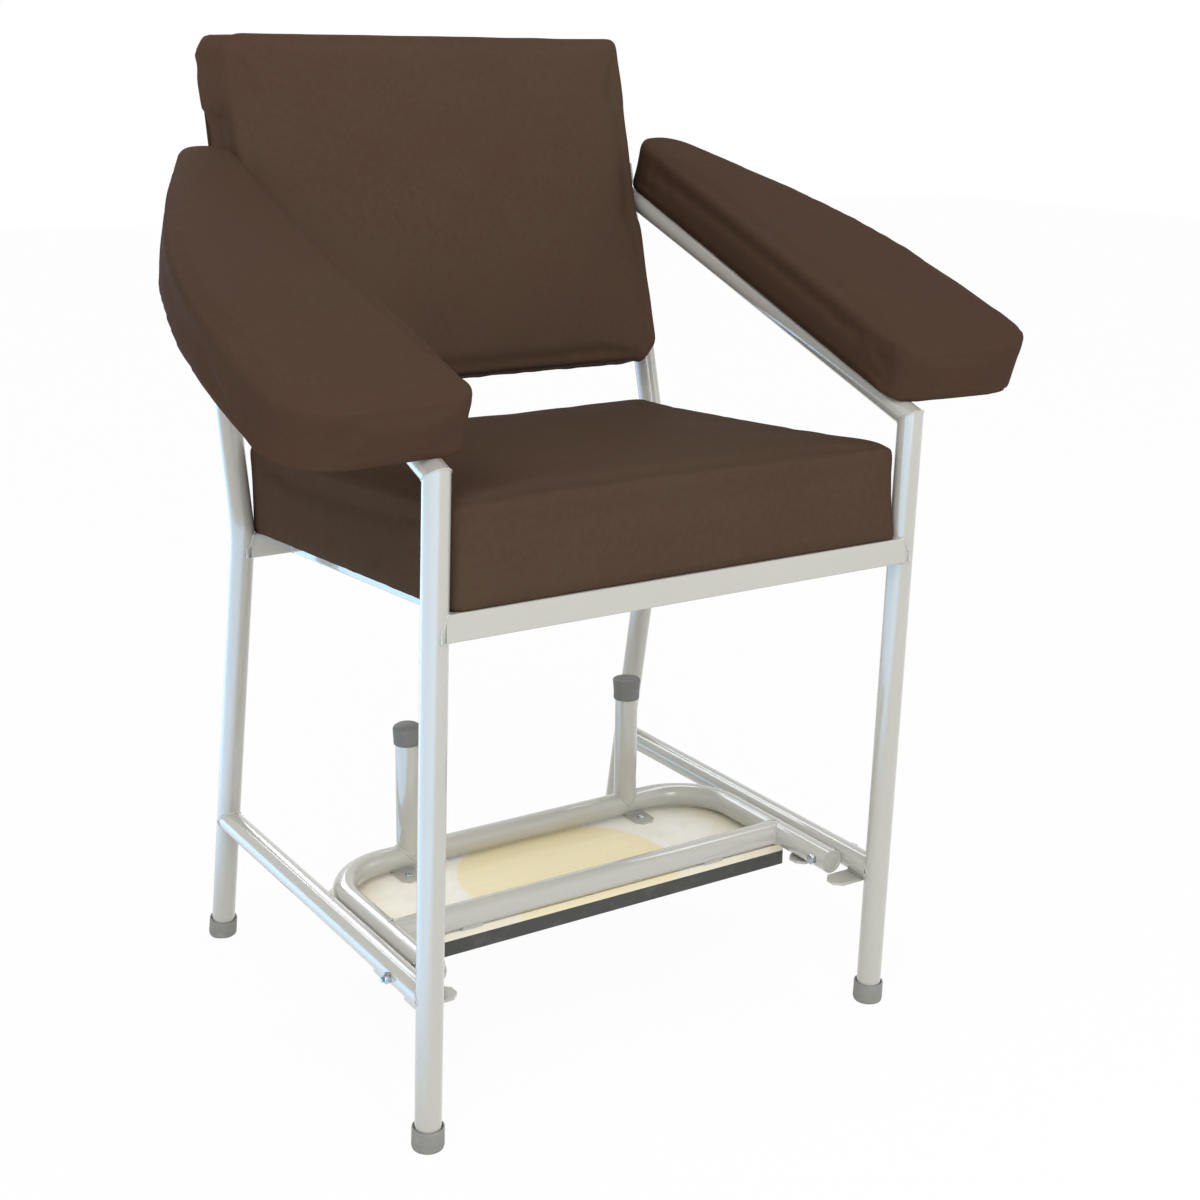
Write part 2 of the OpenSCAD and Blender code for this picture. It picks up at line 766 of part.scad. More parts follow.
// Plywood board inside a cushion of a given size
module cushion_board(w, d, margin) {
    translate([margin, margin, 0]) cube([w - 2 * margin, d - 2 * margin, board_thickness]);
}

module on_seat_cushion() {
    on_seat_frame() translate([-seat_width / 2, seat_start, seat_rail / 2]) children();
}

module on_back_cushion() {
    on_upright() translate([-back_width / 2, -tube_r, back_start]) rotate([90, 0, 0]) children();
}

module seat_board() {
    color(plywood) difference() {
        on_seat_cushion() cushion_board(seat_width, seat_depth, board_margin);
        on_seat_frame() both_sides() seat_screw_holes(screw_d + fixed_fit,
            seat_rail / 2 + screw_bite + fixed_fit, 0);
    }
}

module seat_cushion() {
    color(vinyl) on_seat_cushion() difference() {
        padded_form(cushion_ring(seat_width, seat_depth, seat_corner, seat_side_draw),
            seat_thickness, seat_crown, 0, 0);
        cushion_board(seat_width, seat_depth, board_margin);
    }
}

// Pan head screw, head below Z 0 and shank above it
module pan_screw(d, shank) {
    head_d = head_d_share * d;
    head = head_share * d;
    translate([0, 0, -head]) rotate_extrude() polygon([
        [0, 0], [head_d / 2 - head / 2, 0], [head_d / 2, head / 2], [head_d / 2, head],
        [d / 2, head], [d / 2, head + shank], [0, head + shank]
    ]);
}

module seat_screws() {
    color(zinc) on_seat_frame() both_sides() at_seat_screws() translate([0, 0, -seat_rail / 2])
        pan_screw(screw_d, seat_rail + screw_bite);
}

module back_board() {
    color(plywood) difference() {
        on_back_cushion() cushion_board(back_width, back_height, back_board_margin);
        at_back_screws() rotate([90, 0, 0])
            cylinder(d = screw_d + fixed_fit, h = tube_r + screw_bite + fixed_fit);
    }
}

module back_cushion() {
    color(vinyl) on_back_cushion() difference() {
        padded_form(cushion_ring(back_width, back_height, back_corner, back_side_draw),
            back_thickness, back_crown, 0, back_front_draw);
        cushion_board(back_width, back_height, back_board_margin);
    }
}

module back_screws() {
    color(zinc) at_back_screws() rotate([90, 0, 0]) translate([0, 0, -tube_r])
        pan_screw(screw_d, tube_od + screw_bite);
}

module arm_board_body() {
    on_arm_pad() linear_extrude(board_thickness)
        polygon(inset_ring(pad_ring(pad_width, pad_length), board_margin + pad_foot_draw));
}

module arm_board(side) {
    color(plywood) at_side(side) difference() {
        arm_board_body();
        at_plate_screws() cylinder(d = screw_d + fixed_fit, h = tube_r + screw_bite + fixed_fit);
    }
}

module arm_pad(side) {
    color(vinyl) at_side(side) difference() {
        on_arm_pad() padded_form(pad_ring(pad_width, pad_length), pad_thickness, pad_crown,
            pad_foot_draw, 0);
        arm_board_body();
    }
}

module arm_pad_screws() {
    color(zinc) both_sides() at_plate_screws() translate([0, 0, tube_r - pad_plate_thickness])
        pan_screw(screw_d, pad_plate_thickness + screw_bite);
}

// Pivot hardware on the right, along +X from the footrest arm's inner side
module at_pivot(x) {
    translate([x, pivot_y, pivot_height]) rotate([0, 90, 0]) children();
}

module hex_prism(h) {
    cylinder(d = hex_width / cos(30), h = h, $fn = 6);
}

module pivot_bolts() {
    inner = footrest_arm_x - tube_r - run_gap;
    outer = leg_x + tube_r + nut_height + thread_over;
    color(zinc) both_sides() {
        at_pivot(inner - head_height) hex_prism(head_height);
        at_pivot(inner) cylinder(d = bolt_d, h = outer - inner);
    }
}

module pivot_nuts() {
    color(zinc) both_sides() at_pivot(leg_x + tube_r) difference() {
        hex_prism(nut_height);
        translate([0, 0, -cut]) cylinder(d = bolt_d + fixed_fit, h = 2 * cut);
    }
}

module pivot_washers() {
    color(zinc) both_sides() at_pivot(leg_x - tube_r - washer_thickness) difference() {
        cylinder(d = washer_d, h = washer_thickness);
        translate([0, 0, -cut]) cylinder(d = bolt_d + fixed_fit, h = 2 * cut);
    }
}

// Solid round body of the footrest's one bent tube: two arms, two corners and
// the tube across the back
module loop_body(d, over) {
    corner_y = loop_y - loop_radius;
    corner_x = footrest_arm_x - loop_radius;
    back = corner_x + bend_lap;
    both_sides() {
        translate([footrest_arm_x, tail_y - over, pivot_height])
            rod_y(d, corner_y + bend_lap - tail_y + over);
        translate([corner_x, corner_y, pivot_height]) bend(loop_radius, 90, d);
    }
    translate([-back, loop_y, pivot_height]) rod_x(d, 2 * back);
}

module footrest_loop() {
    color(enamel) difference() {
        loop_body(tube_od, 0);
        loop_body(tube_bore, cut);
        both_sides() at_pivot(footrest_arm_x - cut) cylinder(d = sleeve_d + fixed_fit, h = 2 * cut);
    }
}

module footrest_cross_tube() {
    half = footrest_arm_x - cope;
    color(enamel) difference() {
        translate([-half, cross_y, pivot_height]) rod_x(tube_od, 2 * half);
        translate([-half - cut, cross_y, pivot_height]) rod_x(tube_bore, 2 * (half + cut));
        both_sides() translate([footrest_arm_x, cross_y - cut, pivot_height])
            rod_y(tube_od + 2 * weld_gap, 2 * cut);
    }
}

// Post that stands on the floor when the footrest is out
module footrest_post(side) {
    foot = pivot_height + cope;
    top = post_tip_top - tip_floor;
    color(enamel) at_side(side) difference() {
        translate([post_x, loop_y, foot]) cylinder(d = tube_od, h = top - foot);
        translate([post_x, loop_y, foot - cut]) cylinder(d = tube_bore, h = top - foot + 2 * cut);
        translate([post_x - cut, loop_y, pivot_height]) rod_x(tube_od + 2 * weld_gap, 2 * cut);
    }
}

module footrest_post_tips() {
    steps = 5;
    dome = [for (i = [0 : steps]) let (a = 90 * i / steps)
        [post_tip_od / 2 * sin(a), post_tip_dome * (1 - cos(a))]];
    color(rubber) both_sides() translate([post_x, loop_y, post_tip_top]) mirror([0, 0, 1])
        rubber_tip(post_tip_height, post_tip_od, dome);
}

// Discs that close the arms' free ends
module footrest_arm_ends() {
    color(enamel) both_sides() translate([footrest_arm_x, tail_y + end_recess, pivot_height])
        rod_y(tube_bore - 2 * weld_gap, end_thickness);
}

// Steel sleeves through the arms, in which the pivot bolts turn
module pivot_sleeves() {
    color(zinc) both_sides() at_pivot(footrest_arm_x - tube_r) difference() {
        cylinder(d = sleeve_d, h = tube_od);
        translate([0, 0, -cut]) cylinder(d = bolt_d + pivot_fit, h = 3 * cut);
    }
}

// Places of the right lugs: X points from the tube towards the board's middle
module at_lugs() {
    translate([lug_spacing / 2, loop_y, ply_top]) rotate([0, 0, -90]) children();
    translate([lug_spacing / 2, cross_y, ply_top]) rotate([0, 0, 90]) children();
}

module footrest_lugs() {
    color(enamel) both_sides() at_lugs() difference() {
        union() {
            linear_extrude(lug_thickness)
                plate_outline(-weld_half, lug_reach, lug_width, lug_corner);
            translate([0, 0, lug_thickness]) weld_bar(lug_width, 0);
        }
        translate([0, -cut, lug_thickness + tube_r]) rod_y(tube_od + 2 * weld_gap, 2 * cut);
        translate([lug_screw_reach, 0, -cut])
            cylinder(d = small_screw_d + fixed_fit, h = 2 * cut);
    }
}

// Outline of the footrest board: small corners near the pivot, large ones
// under the loop's corners
module board_outline() {
    half = tread_length / 2;
    near = tread_start;
    end = tread_start + tread_depth;
    translate([tread_corner - half, near])
        square([2 * (half - tread_corner), tread_depth - tread_corner_far]);
    translate([-half, near + tread_corner])
        square([tread_length, tread_depth - tread_corner - tread_corner_far]);
    translate([tread_corner_far - half, near + tread_corner])
        square([2 * (half - tread_corner_far), tread_depth - tread_corner]);
    for (side = [-1, 1]) {
        translate([side * (half - tread_corner), near + tread_corner]) circle(r = tread_corner);
        translate([side * (half - tread_corner_far), end - tread_corner_far])
            circle(r = tread_corner_far);
    }
}

module footrest_board() {
    color(plywood) difference() {
        translate([0, 0, tread_top]) linear_extrude(ply_thickness) board_outline();
        both_sides() at_lugs() translate([lug_screw_reach, 0, -small_bite - fixed_fit])
            cylinder(d = small_screw_d + fixed_fit, h = cut);
    }
}

// Rubber tread under the board, its grooved face up when the footrest is out
module footrest_tread() {
    pitch = (tread_depth - 2 * groove_margin) / groove_count;
    color(tread_grey) difference() {
        translate([0, 0, tread_top - tread_thickness]) linear_extrude(tread_thickness)
            board_outline();
        for (i = [0 : groove_count - 1])
            translate([-tread_length / 2 + groove_end,
                    tread_start + groove_margin + (i + 0.5) * pitch - groove_width / 2,
                    tread_top - tread_thickness - cut])
                cube([tread_length - 2 * groove_end, groove_width, cut + groove_depth]);
    }
}

module footrest_screws() {
    color(zinc) both_sides() at_lugs() translate([lug_screw_reach, 0, lug_thickness])
        mirror([0, 0, 1]) pan_screw(small_screw_d, lug_thickness + small_bite);
}

front_leg(-1);  // front_leg_left
front_leg(1);  // front_leg_right
rear_leg(-1);  // rear_leg_left
rear_leg(1);  // rear_leg_right
lower_rail(-1);  // lower_rail_left
lower_rail(1);  // lower_rail_right
seat_front_rail();
seat_rear_rail();
seat_side_rail(-1);  // seat_side_rail_left
seat_side_rail(1);  // seat_side_rail_right
arm_rail(-1);  // arm_rail_left
arm_rail(1);  // arm_rail_right
back_lower_rail();
back_upper_rail();
arm_pad_plates(-1);  // arm_pad_plates_left
arm_pad_plates(1);  // arm_pad_plates_right
front_stop_tabs();
rear_stop_tabs();
front_leg_tips();
rear_leg_tips();
upright_plugs();
seat_board();
seat_cushion();
seat_screws();
back_board();
back_cushion();
back_screws();
arm_board(-1);  // arm_board_left
arm_board(1);  // arm_board_right
arm_pad(-1);  // arm_pad_left
arm_pad(1);  // arm_pad_right
arm_pad_screws();
pivot_bolts();
pivot_nuts();
pivot_washers();
footrest_loop();
footrest_cross_tube();
footrest_post(-1);  // footrest_post_left
footrest_post(1);  // footrest_post_right
footrest_post_tips();
footrest_arm_ends();
pivot_sleeves();
footrest_lugs();
footrest_board();
footrest_tread();
footrest_screws();
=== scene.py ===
"""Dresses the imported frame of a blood-drawing chair.

The chair has an enamelled tube frame, a padded vinyl seat, back and two arm
rests, and a footrest that flips over from under the seat. Sizes in the classes
are in millimetres, and the scene is in metres, in the frame of the CAD model:
left is -X and right is +X seen from the front, and the sitter faces -Y.
"""

import json
import logging
import math
from dataclasses import dataclass, field
from enum import Enum
from typing import Callable, Optional, Sequence, Union

import bpy
import numpy as np
from mathutils import Matrix, Vector

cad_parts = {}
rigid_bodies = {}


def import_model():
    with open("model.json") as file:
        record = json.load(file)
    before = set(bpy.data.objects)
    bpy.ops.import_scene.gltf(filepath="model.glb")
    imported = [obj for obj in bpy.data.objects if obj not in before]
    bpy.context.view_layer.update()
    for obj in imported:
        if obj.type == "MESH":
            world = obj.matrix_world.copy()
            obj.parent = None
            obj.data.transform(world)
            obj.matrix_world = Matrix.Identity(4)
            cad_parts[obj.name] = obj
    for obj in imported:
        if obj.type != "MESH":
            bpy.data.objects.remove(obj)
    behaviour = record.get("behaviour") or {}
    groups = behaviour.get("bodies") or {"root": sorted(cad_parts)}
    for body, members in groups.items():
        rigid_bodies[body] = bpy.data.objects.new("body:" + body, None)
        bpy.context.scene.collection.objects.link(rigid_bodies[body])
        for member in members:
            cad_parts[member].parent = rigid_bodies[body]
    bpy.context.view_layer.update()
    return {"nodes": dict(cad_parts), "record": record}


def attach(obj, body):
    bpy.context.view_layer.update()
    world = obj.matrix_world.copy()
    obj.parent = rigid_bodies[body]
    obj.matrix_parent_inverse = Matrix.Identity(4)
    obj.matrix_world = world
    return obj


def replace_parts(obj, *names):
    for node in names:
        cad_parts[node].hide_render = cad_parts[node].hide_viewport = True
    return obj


for leftover in list(bpy.data.objects):
    bpy.data.objects.remove(leftover)
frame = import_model()

MM = 0.001
Colour = tuple[float, float, float]
Faces = list[tuple[int, ...]]
log = logging.getLogger("chair")


class Side(Enum):
    """The two sides of the chair, as the sign of X."""

    LEFT = -1
    RIGHT = 1


class Body(Enum):
    """The two bodies of the CAD model."""

    CHAIR = "chair"
    FOOTREST = "footrest"


class Slot(Enum):
    """The record's material slots; each piece is passed one, but it is not read."""

    ENAMEL = "enamel"
    VINYL = "vinyl"
    TIP = "rubber_tip"
    ZINC = "zinc"


# Shader maths


class Sock:
    """A shader socket that takes part in Python arithmetic."""

    def __init__(self, graph: "Graph", socket: bpy.types.NodeSocket) -> None:
        """Wraps one output socket of a graph."""
        self.graph = graph
        self.socket = socket

    def __add__(self, other: "Value") -> "Sock":
        """Sum."""
        return self.graph.math("ADD", self, other)

    __radd__ = __add__

    def __mul__(self, other: "Value") -> "Sock":
        """Product."""
        return self.graph.math("MULTIPLY", self, other)

    __rmul__ = __mul__

    def __sub__(self, other: "Value") -> "Sock":
        """Difference."""
        return self.graph.math("SUBTRACT", self, other)

    def __rsub__(self, other: "Value") -> "Sock":
        """Difference, with the socket on the right."""
        return self.graph.math("SUBTRACT", other, self)

    def __pow__(self, other: "Value") -> "Sock":
        """Power."""
        return self.graph.math("POWER", self, other)

    def size(self) -> "Sock":
        """Absolute value."""
        return self.graph.math("ABSOLUTE", self, 0.0)

    def wave(self) -> "Sock":
        """Sine."""
        return self.graph.math("SINE", self, 0.0)

    def clamp(self) -> "Sock":
        """Kept between 0 and 1."""
        return self.graph.node("ShaderNodeClamp", {}, {"Value": self})

    def step(self, low: float, high: float) -> "Sock":
        """A smooth rise from 0 at low to 1 at high."""
        return self.graph.node(
            "ShaderNodeMapRange",
            {"interpolation_type": "SMOOTHSTEP"},
            {"Value": self, "From Min": low, "From Max": high},
        )


Value = Union[Sock, float]


class Graph:
    """The node graph of one material, or of the world."""

    def __init__(self, name: str, world: bool = False) -> None:
        """Makes a material with a Principled shader, or a world with its Background."""
        self.owner = (bpy.data.worlds if world else bpy.data.materials).new(name)
        self.owner.use_nodes = True
        self.tree = self.owner.node_tree
        self.shader = self.tree.nodes["Background" if world else "Principled BSDF"]
        self.place = 0

    def node(
        self, kind: str, settings: dict, sockets: dict, out: Union[int, str] = 0
    ) -> Sock:
        """Adds a node of any type.

        Args:
            kind: The node's type.
            settings: Its settings, with "stops" for a colour ramp.
            sockets: Values or links of its input sockets, by name or number.
            out: The output that is handed back.

        Returns:
            That output.
        """
        made = self.tree.nodes.new(kind)
        self.place += 1
        made.location = (-260 * (self.place % 9) - 300, -220 * (self.place // 9))
        for key, value in settings.items():
            if key == "stops":
                while len(made.color_ramp.elements) < len(value):
                    made.color_ramp.elements.new(0.5)
                for element, (position, colour) in zip(made.color_ramp.elements, value):
                    element.position = position
                    element.color = (*colour, 1.0)
            else:
                setattr(made, key, value)
        for key, value in sockets.items():
            self.feed(made.inputs[key], value)
        return Sock(self, made.outputs[out])

    def feed(self, target: bpy.types.NodeSocket, value: object) -> None:
        """Links a socket to an input, or sets the input's value."""
        if isinstance(value, Sock):
            self.tree.links.new(value.socket, target)
        else:
            target.default_value = value

    def math(self, operation: str, a: Value, b: Value) -> Sock:
        """A Math node on two values."""
        return self.node("ShaderNodeMath", {"operation": operation}, {0: a, 1: b})

    def place_in_model(self) -> Sock:
        """Position in the frame of the model at rest, in metres."""
        return self.node("ShaderNodeTexCoord", {}, {}, "Object")

    def parts_of(self, vector: Sock) -> tuple[Sock, Sock, Sock]:
        """The X, Y and Z of a vector."""
        split = self.node("ShaderNodeSeparateXYZ", {}, {"Vector": vector})
        return tuple(Sock(self, split.socket.node.outputs[k]) for k in range(3))

    def stretched(self, vector: Sock, by: Colour) -> Sock:
        """A vector multiplied by one factor for each axis."""
        return self.node(
            "ShaderNodeVectorMath", {"operation": "MULTIPLY"}, {0: vector, 1: by}
        )

    def noise(
        self, at: Sock, scale: float, detail: float = 2.0, rough: float = 0.5,
        twist: float = 0.0,
    ) -> Sock:
        """Soft noise between 0 and 1.

        Args:
            at: Where it is read.
            scale: Waves in a metre.
            detail: Finer octaves on top.
            rough: Strength of those octaves.
            twist: How far it is distorted.

        Returns:
            The noise's value.
        """
        return self.node(
            "ShaderNodeTexNoise", {},
            {"Vector": at, "Scale": scale, "Detail": detail, "Roughness": rough,
             "Distortion": twist},
        )

    def cells(self, at: Sock, scale: float, feature: str = "F1") -> Sock:
        """Distance to the nearest of scattered points, or to their borders."""
        return self.node(
            "ShaderNodeTexVoronoi", {"feature": feature}, {"Vector": at, "Scale": scale},
            "Distance",
        )

    def mix(self, share: Value, low: object, high: object) -> Sock:
        """A colour between two others."""
        low, high = (c if isinstance(c, Sock) else (*c, 1.0) for c in (low, high))
        return self.node(
            "ShaderNodeMix", {"data_type": "RGBA"}, {0: share, 6: low, 7: high}, 2
        )

    def bump(self, height: Sock, distance: float, strength: float = 1.0,
             under: Optional[Sock] = None) -> Sock:
        """A Bump node.

        Args:
            height: The relief, 0 to 1.
            distance: Its depth in metres.
            strength: How much of it shows.
            under: A normal that it adds to.

        Returns:
            The changed normal.
        """
        sockets = {"Height": height, "Distance": distance, "Strength": strength}
        if under is not None:
            sockets["Normal"] = under
        return self.node("ShaderNodeBump", {}, sockets)

    def finish(self, colour: object, roughness: Value, normal: Optional[Sock] = None,
               **uniform: float) -> bpy.types.Material:
        """Feeds the shader.

        Args:
            colour: Base colour, a socket or three numbers.
            roughness: A socket or a number.
            normal: The normal, where there is relief.
            **uniform: Values of other inputs, with _ for a space in their names.

        Returns:
            The material.
        """
        inputs = self.shader.inputs
        base = colour if isinstance(colour, Sock) else (*colour, 1.0)
        self.feed(inputs["Base Color"], base)
        self.feed(inputs["Roughness"], roughness)
        if normal is not None:
            self.feed(inputs["Normal"], normal)
        for name, value in uniform.items():
            inputs[name.replace("_", " ")].default_value = value
        return self.owner


# Finishes


@dataclass(frozen=True)
class Vinyl:
    """Matt brown upholstery vinyl with a fine pebbled grain."""

    name: str
    warm: Colour = (0.076, 0.0455, 0.032)
    olive: Colour = (0.0765, 0.0525, 0.034)
    mottle: float = 0.5
    worn: float = 0.86
    roughness: float = 0.62
    gloss: float = 0.004

    def material(self) -> bpy.types.Material:
        """Makes the material."""
        g = Graph(self.name)
        at = g.place_in_model()
        broad = g.noise(at, 7.0, 2.0)
        blotch = g.noise(at, 150.0, 3.0, 0.62, 0.4)
        speck = g.noise(at, 520.0, 2.0)
        mask = ((blotch - 0.5) * 3.4 + (broad - 0.5) * 2.0 + self.mottle).clamp()
        wear = (g.noise(at, 16.0, 4.0, 0.6) - 0.5) * 1.6 + (speck - 0.5) * 0.9
        darker = tuple(c * self.worn for c in self.warm)
        colour = g.mix(mask, self.warm, self.olive)
        colour = g.mix((wear * 0.5 + 0.32).clamp() * 0.5, colour, darker)
        pebble = g.cells(at, 760.0, "SMOOTH_F1")
        pores = g.noise(at, 1500.0, 2.0)
        relief = g.bump(pebble * 0.8 + pores * 0.2, 0.00014, 0.55)
        relief = g.bump(g.noise(at, 60.0, 3.0), 0.0005, 0.35, relief)
        rough = (broad - 0.5) * 0.12 + (speck - 0.5) * 0.08 + self.roughness
        return g.finish(colour, rough, relief, Specular_IOR_Level=self.gloss)


@dataclass(frozen=True)
class Enamel:
    """Off-white stove enamel on steel, with a faint orange peel."""

    name: str
    colour: Colour = (0.474, 0.471, 0.430)
    shade: Colour = (0.454, 0.447, 0.404)
    scuff: Colour = (0.36, 0.35, 0.32)
    wear: float = 1.0

    def material(self) -> bpy.types.Material:
        """Makes the material."""
        g = Graph(self.name)
        at = g.place_in_model()
        _, _, height = g.parts_of(at)
        cloud = g.noise(at, 9.0, 3.0)
        colour = g.mix((cloud - 0.3).clamp(), self.colour, self.shade)
        scratch = g.noise(g.stretched(at, (1.0, 1.0, 0.25)), 130.0, 4.0, 0.7, 0.8)
        marks = scratch.step(0.70, 0.76) * (0.36 - height).step(0.0, 0.36) * 0.55
        colour = g.mix(marks * self.wear, colour, self.scuff)
        peel = g.bump(g.noise(at, 240.0, 1.0), 0.00006, 0.35)
        rough = (cloud - 0.5) * 0.10 + marks * 0.3 + 0.24
        return g.finish(colour, rough, peel, Coat_Roughness=0.05, Coat_Weight=0.9)


@dataclass(frozen=True)
class Rubber:
    """Moulded rubber, dusty where it has stood on floors."""

    name: str
    colour: Colour = (0.26, 0.26, 0.25)
    dust: Colour = (0.37, 0.365, 0.34)
    roughness: float = 0.62
    grain: float = 900.0

    def material(self) -> bpy.types.Material:
        """Makes the material."""
        g = Graph(self.name)
        at = g.place_in_model()
        cloud = g.noise(at, 60.0, 4.0, 0.6)
        speck = g.noise(at, 900.0, 2.0)
        colour = g.mix(cloud.step(0.48, 0.75) * 0.45, self.colour, self.dust)
        darker = tuple(c * 0.72 for c in self.colour)
        colour = g.mix((speck - 0.45).clamp() * 1.2, colour, darker)
        relief = g.bump(g.noise(at, self.grain, 2.0), 0.0001, 0.5)
        return g.finish(colour, (cloud - 0.5) * 0.2 + self.roughness, relief,
                        Specular_IOR_Level=0.35)


@dataclass(frozen=True)
class Plywood:
    """Pale plywood, on the footrest with a bare tan patch in the middle."""

    name: str
    patch: bool = True
    pale: Colour = (0.95, 0.93, 0.87)
    grain_dark: Colour = (0.68, 0.61, 0.45)
    bare: Colour = (0.95, 0.85, 0.55)
    beige: Colour = (0.80, 0.72, 0.52)
    milky: Colour = (0.82, 0.75, 0.60)
    veil: Colour = (0.90, 0.88, 0.80)
    glue: Colour = (0.34, 0.25, 0.14)
    patch_centre: tuple[float, float] = (0.006, -0.045)
    patch_scale: tuple[float, float] = (8.4, 8.9)
    strip: tuple[float, float] = (0.114, 0.122)
    plies: float = 3600.0

    def material(self) -> bpy.types.Material:
        """Makes the material."""
        g = Graph(self.name)
        at = g.place_in_model()
        _, _, z = g.parts_of(at)
        grain = g.noise(g.stretched(at, (6.0, 120.0, 120.0)), 1.0, 4.0, 0.6, 0.6)
        fine = g.noise(g.stretched(at, (30.0, 900.0, 900.0)), 1.0, 2.0)
        if self.patch:
            colour = self.patched(g, at, grain)
        else:
            colour = g.mix((grain - 0.35).clamp() * 0.75, self.pale, self.grain_dark)
        _, _, up = g.parts_of(g.node("ShaderNodeTexCoord", {}, {}, "Normal"))
        rim = 1.0 - up.size().step(0.3, 0.6)
        plies = (z * self.plies + grain * 2.0).wave().step(0.1, 0.7)
        colour = g.mix(rim * 0.55, colour, self.beige)
        colour = g.mix(rim * plies * 0.12, colour, self.glue)
        relief = g.bump(grain * 0.6 + fine * 0.4, 0.00018, 0.6)
        return g.finish(colour, (grain - 0.5) * 0.15 + 0.58, relief, Specular_IOR_Level=0.35)

    def patched(self, g: Graph, at: Sock, grain: Sock) -> Sock:
        """Colours of the footrest's board, by their place.

        Args:
            g: The material's graph.
            at: Position in the model.
            grain: The wood's grain, 0 to 1.

        Returns:
            The colour.
        """
        x, y, _ = g.parts_of(at)
        u = (x - self.patch_centre[0]) * self.patch_scale[0]
        v = (y - self.patch_centre[1]) * self.patch_scale[1]
        away = (u * u + v * v) ** 0.5 + (g.noise(at, 26.0, 3.0) - 0.5) * 0.09
        dots = g.noise(at, 420.0, 1.0).step(0.74, 0.79) * 0.5
        tan = g.mix((grain - 0.4).clamp() * 0.45, self.bare, self.grain_dark)
        tan = g.mix(dots, tan, self.glue)
        clouds = g.noise(at, 38.0, 4.0, 0.6).step(0.4, 0.75) * 0.4
        colour = g.mix(clouds, self.pale, self.milky)
        colour = g.mix(away.step(1.4, 2.0) * 0.4, colour, tan)
        colour = g.mix((0.0 - y).step(*self.strip) * 0.6, colour, self.beige)
        colour = g.mix(1.0 - away.step(0.985, 1.025), colour, tan)
        streaks = g.noise(g.stretched(at, (1.0, 2.2, 1.0)), 20.0, 3.0, 0.6)
        return g.mix(streaks.step(0.5, 0.85) * 0.3, colour, self.veil)


@dataclass(frozen=True)
class Zinc:
    """Bright zinc plate on screws, nuts and bolts."""

    name: str
    colour: Colour = (0.44, 0.47, 0.50)
    dull: Colour = (0.30, 0.29, 0.26)

    def material(self) -> bpy.types.Material:
        """Makes the material."""
        g = Graph(self.name)
        at = g.place_in_model()
        cloud = g.noise(at, 300.0, 4.0, 0.65)
        colour = g.mix(cloud.step(0.45, 0.8) * 0.6, self.colour, self.dull)
        lines = g.bump(g.noise(at, 2600.0, 1.0), 0.00003, 0.5)
        return g.finish(colour, (cloud - 0.5) * 0.2 + 0.22, lines, Metallic=1.0)


# Mesh helpers


def circle(count: int, radius: float = 1.0) -> np.ndarray:
    """Points of a circle in a plane, counted anticlockwise."""
    angle = np.linspace(0.0, 2 * math.pi, count, endpoint=False)
    return np.stack([np.cos(angle), np.sin(angle)], 1) * radius


def tube_faces(rows: int, count: int) -> Faces:
    """Quads between rows of points, each row a closed ring."""
    faces = []
    for row in range(rows - 1):
        a, b = row * count, (row + 1) * count
        for i in range(count):
            j = (i + 1) % count
            faces.append((a + i, a + j, b + j, b + i))
    return faces


def moved(points: np.ndarray, place: Matrix) -> tuple[np.ndarray, bool]:
    """Points in another frame, and whether that frame mirrors them."""
    m = np.array(place, float)
    return points @ m[:3, :3].T + m[:3, 3], bool(np.linalg.det(m[:3, :3]) < 0)


def stacked(rows: Sequence[np.ndarray], floor: bool = True,
            lid: bool = True) -> tuple[np.ndarray, Faces]:
    """Joins rings of equal counts into one wall.

    Args:
        rows: The rings, anticlockwise, from bottom to top.
        floor: Whether the bottom is closed.
        lid: Whether the top is closed.

    Returns:
        The points and faces.
    """
    count, last = len(rows[0]), len(rows) - 1
    faces = tube_faces(len(rows), count)
    if floor:
        faces.append(tuple(reversed(range(count))))
    if lid:
        faces.append(tuple(range(last * count, (last + 1) * count)))
    return np.concatenate(rows), faces


